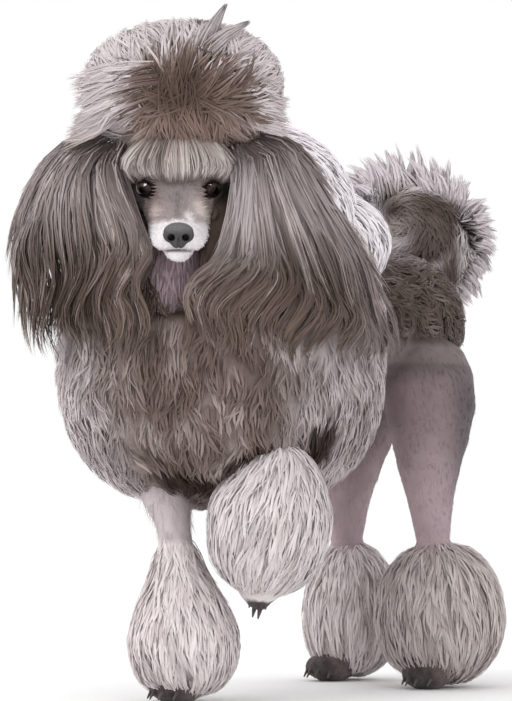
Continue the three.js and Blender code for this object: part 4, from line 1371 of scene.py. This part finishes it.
def make_fringe():
    draw = np.random.default_rng(31)
    count = 120
    s = np.linspace(-1, 1, count)[:, None] + draw.uniform(-0.02, 0.02, (count, 1))
    late = draw.uniform(0, 1, (count, 1)) ** 2
    tip = 14 + 4 * ridge(np.abs(s), 0.6, 0.16) - 12 * s**6
    rows = [
        (-22, 22 * s, 72),
        (-4 - 14 * s**2, 50 * s, 61 - 8 * s**2),
        (10 - 24 * s**2, 69 * s, 38 - 10 * s**2),
        (10 - 26 * s**2, 57 * s, tip + 5 * late),
    ]
    lift = draw.uniform(-4, 4, (count, 1))
    knots = [EYES_AT + (f + lift * (i > 0)) * FORWARD + l * LEFT + u * UP for i, (f, l, u) in enumerate(rows)]
    outs = unit(FORWARD + 0.7 * s * LEFT + 0.3 * UP)
    uv = np.concatenate([0.5 + 0.45 * s, 0.1 + 0.8 * late], 1)
    hair = hairs(through(knots, 8), outs, uv, 10, 6, 2.2, 1.5, draw, wave=2.5, short=0.12, tones=(0.2, 0.1))

    def paint(p, t, tone):
        middle = smooth(16, 6, np.abs((p - EYES_AT) @ LEFT)) * smooth(0.56, 0.3, tone) * smooth(0.9, 0.5, t)
        colour = laid(shade(126, 110, 104),
                      (smooth(0.1, 0.6, t), 164, 153, 150),
                      (0.85 * smooth(0.42, 0.2, tone) * smooth(0.95, 0.6, t), 92, 79, 74),
                      (0.7 * smooth(0.6, 0.85, tone) * smooth(0.2, 0.5, t), 200, 191, 188),
                      (0.6 * middle, 128, 100, 86),
                      (0.75 * smooth(0.9, 1, t), 112, 99, 95))
        return toned(colour, tone, 0.35)

    tuft_pieces("forehead_fringe", coat_of(hair, paint), long_hair, "pale_coat")


def make_ear(name, seed):
    draw = np.random.default_rng(seed)
    s = 1 if name == "left" else -1
    parts = []
    for count, each, points, starts, ends, across, curl, spread, gather in EAR_LAYERS:
        edge = across[1] < 0.5
        end = draw.uniform(*ends, count)
        if edge:
            start = np.maximum(end - draw.uniform(0.25, 0.5, count), 0.01)
        else:
            start = draw.uniform(*starts, count)
        last = draw.uniform(*across, count)
        first = last + draw.uniform(0.12, 0.28, count) if edge else 0.5 + 0.8 * (last - 0.5)
        run = np.linspace(0, 1, points)[None]
        t = start[:, None] + (end - start)[:, None] * run
        share = first[:, None] + (last - first)[:, None] * run
        bulge = draw.uniform(-9, 6, count)[:, None] - 12 * (1 - run) ** 2 * (start > 0.15)[:, None]
        guides, away = ear_place(name, share, t, bulge)
        turn = 2 * np.pi * (2.9 * t + 1.3 * share[:, :1] + draw.uniform(-0.14, 0.14, (count, 1)))
        size = curl * draw.uniform(0.6, 1.2, (count, 1)) * smooth(0.2, 0.75, t) * np.minimum(1, 3 * run)
        sweep = 12 * smooth(0.15, 0.4, t) * np.sin(2 * np.pi * (1.1 * t + 0.6 * share[:, :1] - 0.35))
        guides = guides + np.cross(away, Z) * (size * np.sin(turn) + sweep)[..., None]
        guides = guides + away * (0.5 * size * np.cos(turn))[..., None]
        uv = np.stack([0.02 + 0.94 * np.clip(first, 0, 1), 0.03 + 0.9 * start], -1)
        outs = away[:, points // 2]
        lines, outs, widths, tone, uv = hairs(guides, outs, uv, each, spread, gather, 1.7, draw, wave=3,
                                              early=0.9, tones=(0.14, 0.12))
        lines = clear_of_face(lines, s, draw)
        tone = np.broadcast_to(tone[:, None], lines.shape[:2])
        tint = ear_colour(name, np.repeat(share, each, 0), np.repeat(t, each, 0), tone)
        parts.append((lines, outs, widths, tint, uv))
    for order, part in enumerate(parts):
        nodes = [f"ear_{name}"] if order == 0 else []
        tuft_pieces(f"ear_hair_{name}_{order + 1}", part, long_hair, "long_coat", *nodes)


def under_wool(inset, colour):
    """Dense wool under the mane's tufts, hollow over the throat."""
    rows, sides = 80, 120
    heights = np.arange(1, rows + 1) / (rows + 1)
    turns = np.arange(sides) / sides * 2 * np.pi
    v, angle = np.meshgrid(heights, turns, indexing="ij")
    v, angle = np.concatenate([[0.002], v.ravel(), [0.998]]), np.concatenate([[0], angle.ravel(), [0]])
    point = mane_outer.surface(v, angle)
    out = mane_outer.outward(np.clip(v, 0.01, 0.99), angle)
    hollow = (smooth(12, 7, np.abs(ahead_of_mane(point) - THROAT_TURN)) * smooth(462, 480, point[:, 2])
              * smooth(-100, -150, point[:, 1]))
    point = point - out * (inset + 3 * bumps(point, 14) + 46 * hollow)[:, None]
    corners, sizes, places = wrapped(rows, sides)
    piece = make_mesh("mane_under_wool", point, corners[::-1], sizes[::-1], colour(point))
    add_values(piece, "strand", "FLOAT_VECTOR", "vector", point * [0.8, 0.8, 0.09])
    add_unwrap(piece, 0.01 + 0.98 * places[::-1])
    finish_piece(piece, wool, "coat")


def make_mane():
    draw = np.random.default_rng(51)
    under_wool(6, lambda p: mane_colour(p) * 0.9)

    def keep(p):
        return ~under_ear(p) & ~at_throat(p) & ~inside(p, NECK_AT, NECK_HALF)

    def flow(p):
        swirl = 0.8 * bumps(p, 46, 2)
        across = unit(np.cross(Z, p - MANE_AT + [0, 0.1, 0]))
        return -Z + 0.3 * (p - MANE_AT) / 220 + swirl[:, None] * across

    guides, outs, uv = brushed(mane_outer, 3500, draw, flow, 34, 9, 1.5, 4, 0.0, 1.0, keep, 0.35)
    hair = hairs(guides, outs, uv, 5, 10, 3.5, 1.8, draw, wave=3, waves=0.9, short=0.3)
    open_here = ~at_throat(hair[0]).any(1)
    hair = [part[open_here] for part in hair]

    def paint(p, t, tone):
        colour = mane_colour(p[:, 1])[:, None] * (0.94 + 0.1 * smooth(0.1, 0.7, t))[..., None]
        return toned(colour, tone, 0.4)

    tuft_pieces("mane_wool", coat_of(hair, paint), wool, "coat", "torso")


def make_neck():
    draw = np.random.default_rng(61)

    def keep(p):
        return (p[:, 1] > -190) & ~inside(p, MANE_AT, MANE_HALF) & ~inside(p, TOPKNOT_AT, TOPKNOT_HALF)

    def behind(p):
        return ((p - EYES_AT) @ FORWARD < -62) & ~inside(p, TOPKNOT_AT, TOPKNOT_HALF)

    def flow(p):
        return evenly([0.15, 0.4, -0.9], p) + 0.3 * bumps(p, 50, 2)[:, None] * X

    nape_outer = Form(midline((-156, -8), (-105, -4), (-52, -6)), [62, 76, 84], [66, 70, 60], LEFT, 3)
    coats = []
    forms = ((neck_outer, 1000, 0.0, keep), (withers_outer, 500, 0.33, keep), (nape_outer, 420, 0.66, behind))
    for form, count, offset, open_here in forms:
        guides, outs, uv = brushed(form, count, draw, flow, 54, 11, 2, 5, keep=open_here, sway=0.2)
        uv = uv * [0.32, 1] + [offset, 0]
        coats.append(hairs(guides, outs, uv, 5, 12, 4, 2.5, draw, wave=4, waves=1.0, uv_spread=0.004,
                           tones=(0.09, 0.08)))

    def paint(p, t, tone):
        ahead = smooth(-110, -160, p[..., 1]) * smooth(740, 700, p[..., 2])
        colour = laid(shade(222, 214, 218),
                      (smooth(0.1, 0.6, t), 236, 230, 234),
                      (0.7 * ahead, 150, 138, 138))
        return toned(colour, tone, 0.3)

    tuft_pieces("neck_hair", coat_of(joined(*coats), paint), wool, "coat", "neck")


def make_throat():
    draw = np.random.default_rng(65)
    throat = Form([[38, -202, 575], [36, -214, 520], [24, -224, 450]], [40, 42, 38], [40, 46.5, 48.5], X, 3)

    def keep(p):
        return (p[:, 1] < -190) & (p[:, 2] > 455)

    def paint(p, t, tone):
        colour = mixed(shade(188, 166, 174), shade(194, 174, 181), smooth(0.2, 1, t))
        return toned(colour, tone, 0.1)

    guides, outs, uv = brushed(throat, 600, draw, lambda p: evenly(-Z, p), 16, 1, 0.1, 4, keep=keep)
    hair = hairs(guides, outs, uv, 3, 5, 3, 1.2, draw, wave=0.5, fine=0.2)
    tuft_pieces("throat_hair", coat_of(hair, paint), fine_hair, "short_coat")


def make_saddle():
    draw = np.random.default_rng(71)
    coats = []

    def flow(p):
        swirl = 1.6 * bumps(p, 32, 2)
        return BACK + swirl[:, None] * np.cross(BACK, unit(p - [0, 300, 480]))

    lengths = ((loin_outer, 820, 120, 236, 0.0), (rump_outer, 1560, 232, 600, 0.5))
    for form, count, low, high, offset in lengths:
        keep = lambda p: (p[:, 2] > SADDLE_EDGE + 26) & (p[:, 1] > low) & (p[:, 1] < high)
        guides, outs, uv = brushed(form, count, draw, flow, 26, 8, 1, 5, keep=keep, sway=0.7)
        uv = uv * [0.48, 1] + [offset, 0]
        coats.append(hairs(guides, outs, uv, 4, 8, 3, 1.8, draw, wave=4, waves=1.2, uv_spread=0.004))

    def paint(p, t, tone):
        patch = bumps(p[:, 2], 30)[:, None] * np.ones_like(t)
        colour = laid(shade(72, 60, 55),
                      (smooth(0.1, 0.8, t), 88, 75, 70),
                      (0.7 * smooth(0.1, 0.5, patch), 116, 104, 100),
                      (0.8 * smooth(SADDLE_EDGE + 60, SADDLE_EDGE + 30, p[..., 2]), 104, 93, 92),
                      (0.75 * smooth(566, 596, p[..., 2] + 10 * (tone - 0.5)), 126, 116, 116))
        return toned(colour, tone, 0.4)

    tuft_pieces("saddle_curls", coat_of(joined(*coats), paint), wool, "saddle_coat", "rump", "loin")


def make_tail():
    draw = np.random.default_rng(81)
    aside = tail_disc.side
    depth = np.cross(aside, Z)
    coats = []

    def flow(p):
        a, u = p @ aside - 205, p[:, 2] - 655
        turned = u[:, None] * aside - a[:, None] * Z
        return turned + 0.5 * (a[:, None] * aside + u[:, None] * Z) + 14 * bumps(p, 30, 2)[:, None] * aside

    def rising(p):
        return Z + (0.02 * (p @ aside - 285) + 0.4 * bumps(p, 30, 2))[:, None] * aside

    for form, count, way, offset in ((tail_disc, 520, flow, 0.0), (tail_fill, 280, rising, 0.25)):
        guides, outs, uv = brushed(form, count, draw, way, 46, 9, 4, 5, sway=0.4)
        uv = uv * [0.24, 1] + [offset, 0]
        coats.append(hairs(guides, outs, uv, 5, 9, 2.2, 1.9, draw, wave=4, waves=0.9, uv_spread=0.003))
    locks = ((160, 15, 0.0, 1.0, 38), (70, 12, 0.0, 0.62, 30), (24, 13, 0.97, 0.9, 34))
    for count, each, low, size, thick in locks:
        t = draw.uniform(low, 1.0, count)
        root, along, _, _ = tail_shaft.at(t)
        ahead = unit(np.stack([along @ aside, along @ Z], -1))
        swing = np.radians(draw.uniform(-8, 30, count) if low < 0.9 else draw.uniform(20, 165, count))
        out = np.stack([ahead[:, 1], -ahead[:, 0]], -1)
        flat = np.cos(swing)[:, None] * out + np.sin(swing)[:, None] * ahead
        way = flat[:, :1] * aside + flat[:, 1:] * Z
        length = spline(TAIL_REACH[:, None], t)[:, 0] * draw.uniform(0.82, 1.05, count) * size
        near = draw.uniform(-1, 1, count)
        bow = draw.uniform(0.3, 1.2, (count, 1)) * np.sign(0.5 - t)[:, None]
        knots = [root + depth * (near * 8)[:, None]]
        for far, out_by, sag in ((0.34, 0.85, 0.0), (0.7, 1.0, 6.0), (1.0, 0.8, 20.0)):
            drop = (length * far * (1 - 0.2 * near**2))[:, None] * way
            spread = depth * (near * thick * out_by)[:, None]
            knots.append(root + drop + np.cross(way, depth) * sag * bow + spread)
        uv = np.stack([np.clip(0.75 + 0.2 * near, 0.52, 0.98), np.clip(t, 0.01, 0.98)], -1)
        outs = unit(way * 0.7 + depth * near[:, None])
        coats.append(hairs(through(knots, 5), outs, uv, each, 14, 1.4, 2.0, draw,
                           wave=2.0, waves=0.8, short=0.3, early=1.7, uv_spread=0.005, tones=(0.1, 0.09)))

    def paint(p, t, tone):
        return toned(tail_colour(p, t, tone), tone, 0.35)

    tuft_pieces("tail_plume", coat_of(joined(*coats), paint), long_hair, "pale_coat", "tail_root", "tail_end")


def make_bracelet(place, seed):
    draw = np.random.default_rng(seed)
    form = BRACELETS[place]
    top = form.path[0] + [0, 0, 10]
    flow = lambda p: (p - top) * [1.3, 1.3, 1] + 22 * bumps(p, 34, 2)[:, None] * [1, -1, 0]
    keep = lambda p: p[:, 2] > 5
    guides, outs, uv = brushed(form, 450, draw, flow, 58, 8, 1.5, 5, 0.02, 0.985, keep, 0.16)
    hair = hairs(guides, outs, uv, 6, 11, 3.0, 1.9, draw, wave=4, waves=0.8, tones=(0.07, 0.07))
    lines = hair[0]
    lines[..., 2] = np.maximum(lines[..., 2], 3.0 + 2.0 * hair[3][:, None])
    tips, roots, patches = BRACELET_SHADES[place]

    def paint(p, t, tone):
        colour = mixed(roots, tips, smooth(0.05, 0.6, t))
        patch = bumps(p[:, 2], 26)[:, None] * np.ones_like(t)
        colour = mixed(colour, patches, 0.7 * smooth(0.0, 0.45, patch))
        return toned(colour, tone, 0.3)

    tuft_pieces(f"bracelet_hair_{place}", coat_of(hair, paint), long_hair, "pale_coat", f"bracelet_{place}")


def scattered(skin, count, draw, keep):
    """Points of the skin spread evenly where keep allows."""
    points, corners, sizes = skin
    starts = np.cumsum(sizes) - sizes
    a, b, c = (points[corners[starts + k]] for k in range(3))
    d = points[corners[starts + sizes - 1]]
    area = np.linalg.norm(np.cross(b - a, d - a), axis=1) * keep((a + c) / 2)
    faces = draw.choice(len(sizes), count, p=area / area.sum())
    s, r = draw.uniform(0, 1, (2, count, 1))
    return a[faces] + s * (b[faces] - a[faces]) + r * (d[faces] - a[faces])


def make_short(name, skin, count, draw, keep, flow, length, width, lift, unwrap, slot, contrast):
    """Short hair that lies on the skin, with its tips a little proud."""
    point = scattered(skin, count, draw, keep)
    out = unit(field_and_slope(point)[1])
    way = unit(flat_on(flow(point) + draw.normal(0, 0.14, point.shape), out))
    size = (length(point) * draw.uniform(0.7, 1.3, len(point)))[:, None]
    lines = np.stack([
        point - 0.5 * out,
        point + 0.5 * size * way + (0.25 + 0.7 * lift * size) * out,
        point + size * way + lift * size * out * draw.uniform(0.6, 1.3, (len(point), 1)),
    ], 1)
    lines[..., 2] = np.maximum(lines[..., 2], 1.5)
    widths = width * draw.uniform(0.7, 1.2, len(point))
    tone = np.clip(draw.normal(0.5, 0.2, len(point)), 0, 1)
    colour = toned(skin_colour(point), tone, contrast)
    tint = colour[:, None] * np.array([1.0, 1.02, 1.05])[:, None]
    tuft_pieces(name, (lines, out, widths, tint, unwrap(point)), fine_hair, slot)


def round_unwrap(middle, along, half):
    """Place round an axis and along it, from 0 to 1."""
    side = unit(np.cross(along, [0.3, 0.5, 0.8]))
    over = np.cross(along, side)

    def unwrap(p):
        q = p - middle
        u = np.arctan2(q @ over, q @ side) / (2 * np.pi) + 0.5
        return np.clip(np.stack([u, 0.5 + 0.5 * (q @ along) / half], -1), 0.004, 0.99)

    return unwrap


def make_face_hair(skin):
    draw = np.random.default_rng(33)

    def keep(p):
        forward, left, up = face_frame(p)
        on_face = (forward > -48) & (up < 40) & (up > -82) & (p[:, 2] > 505)
        for s in (-1, 1):
            opening, away = eye_opening(p, s)
            on_face &= (opening < -7.0) | (away > EYE_RADIUS + 8)
        nose = np.linalg.norm(np.stack([forward - 104, left, up + 25], -1), axis=-1)
        return on_face & (np.abs(above_mouth(p)) > 3.6) & (nose > 18)

    def flow(p):
        _, left, up = face_frame(p)
        away = np.sign(left) * smooth(4, 30, np.abs(left))
        return -FORWARD + 0.55 * away[:, None] * LEFT - 0.35 * UP - smooth(-30, -55, up)[:, None] * 0.5 * UP

    def length(p):
        return 10 * (1 - 0.45 * smooth(45, 85, face_frame(p)[0]))

    make_short("face_hair", skin, 7000, draw, keep, flow, length, 0.62, 0.12,
               round_unwrap(head_point(20, 0, -25), FORWARD, 115), "face_coat", 0.5)


def make_leg_hair(skin):
    draw = np.random.default_rng(35)

    def keep(p):
        bare = (p[:, 2] < SADDLE_EDGE + 34) & (p[:, 1] > 120)
        for form in BRACELETS.values():
            near = distance_to(p[:, :2], form.path[:, :2].mean(0)) < 110
            bare &= ~(near & (p[:, 2] < form.path[:, 2].max() - 4) & (p[:, 2] > 30))
        shank = (p[:, 1] < -120) & (p[:, 2] < 290) & (p[:, 2] > 192) & (p[:, 0] < 40)
        return (bare | shank) & (p[:, 2] > 4)

    def length(p):
        fore = smooth(-100, -130, p[:, 1]) * smooth(150, 180, p[:, 2])
        paw = smooth(50, 30, p[:, 2])
        return 10 + 14 * fore - 5 * paw

    def flow(p):
        return evenly([0, 0.25, -1.0], p)

    def unwrap(p):
        turn = np.arctan2(p[:, 1] - 300, np.abs(p[:, 0]) - 90) / (4 * np.pi)
        u = np.where(p[:, 0] > 0, 0.25, 0.75) + turn
        return np.clip(np.stack([u, p[:, 2] / 500], -1), 0.004, 0.99)

    make_short("leg_hair", skin, 4200, draw, keep, flow, length, 0.55, 0.05, unwrap, "short_coat", 0.24)


def make_stage(eyes):
    """A pale floor, soft lights and the photograph's camera; a small lamp lights the eyes alone."""
    scene = bpy.context.scene
    bpy.ops.mesh.primitive_circle_add(vertices=96, radius=40, fill_type="NGON")
    floor = bpy.context.object
    floor.name = "floor"
    material, _, shader = new_material("floor", 0.9)
    shader.inputs["Base Color"].default_value = (0.9, 0.9, 0.9, 1)
    floor.data.materials.append(material)
    world = bpy.data.worlds.new("studio")
    scene.world = world
    world.use_nodes = True
    world.node_tree.nodes["Background"].inputs["Color"].default_value = (1, 1, 1, 1)
    world.node_tree.nodes["Background"].inputs["Strength"].default_value = 1.0
    for name, kind, place, size, power in LIGHTS:
        light = bpy.data.lights.new(name, kind)
        light.energy = power
        if kind == "SUN":
            light.angle = size
        else:
            light.size = size
        lamp = bpy.data.objects.new(name, light)
        lamp.location = place
        lamp.rotation_euler = (Vector(LAMPS_AIM) - Vector(place)).to_track_quat("-Z", "Y").to_euler()
        scene.collection.objects.link(lamp)
        if name == "glint":
            lit = bpy.data.collections.new("lit by the glint")
            for eye in eyes:
                lit.objects.link(eye)
            lamp.light_linking.receiver_collection = lit
    look = -TO_VIEWER * math.cos(VIEW_PITCH) + Z * math.sin(VIEW_PITCH)
    camera = bpy.data.objects.new("camera", bpy.data.cameras.new("camera"))
    camera.data.sensor_width = SENSOR
    camera.data.lens = VIEW_FOCAL / VIEW_LONG_SIDE * SENSOR
    camera.location = Vector((TO_VIEWER * VIEW_DISTANCE + Z * VIEW_HEIGHT) / 1000 + SHIFT * [1, 1, 0])
    camera.rotation_euler = Vector(look).to_track_quat("-Z", "Y").to_euler()
    scene.collection.objects.link(camera)
    scene.camera = camera
    scene.view_settings.view_transform = "Standard"


skin = make_skin()
eyes = make_eyes()
make_nose()
make_claws()
make_topknot()
make_fringe()
make_ear("left", 41)
make_ear("right", 42)
make_mane()
make_neck()
make_throat()
make_saddle()
make_tail()
for order, limb in enumerate(BRACELETS):
    make_bracelet(limb, 91 + order)
make_face_hair(skin)
make_leg_hair(skin)
make_stage(eyes)
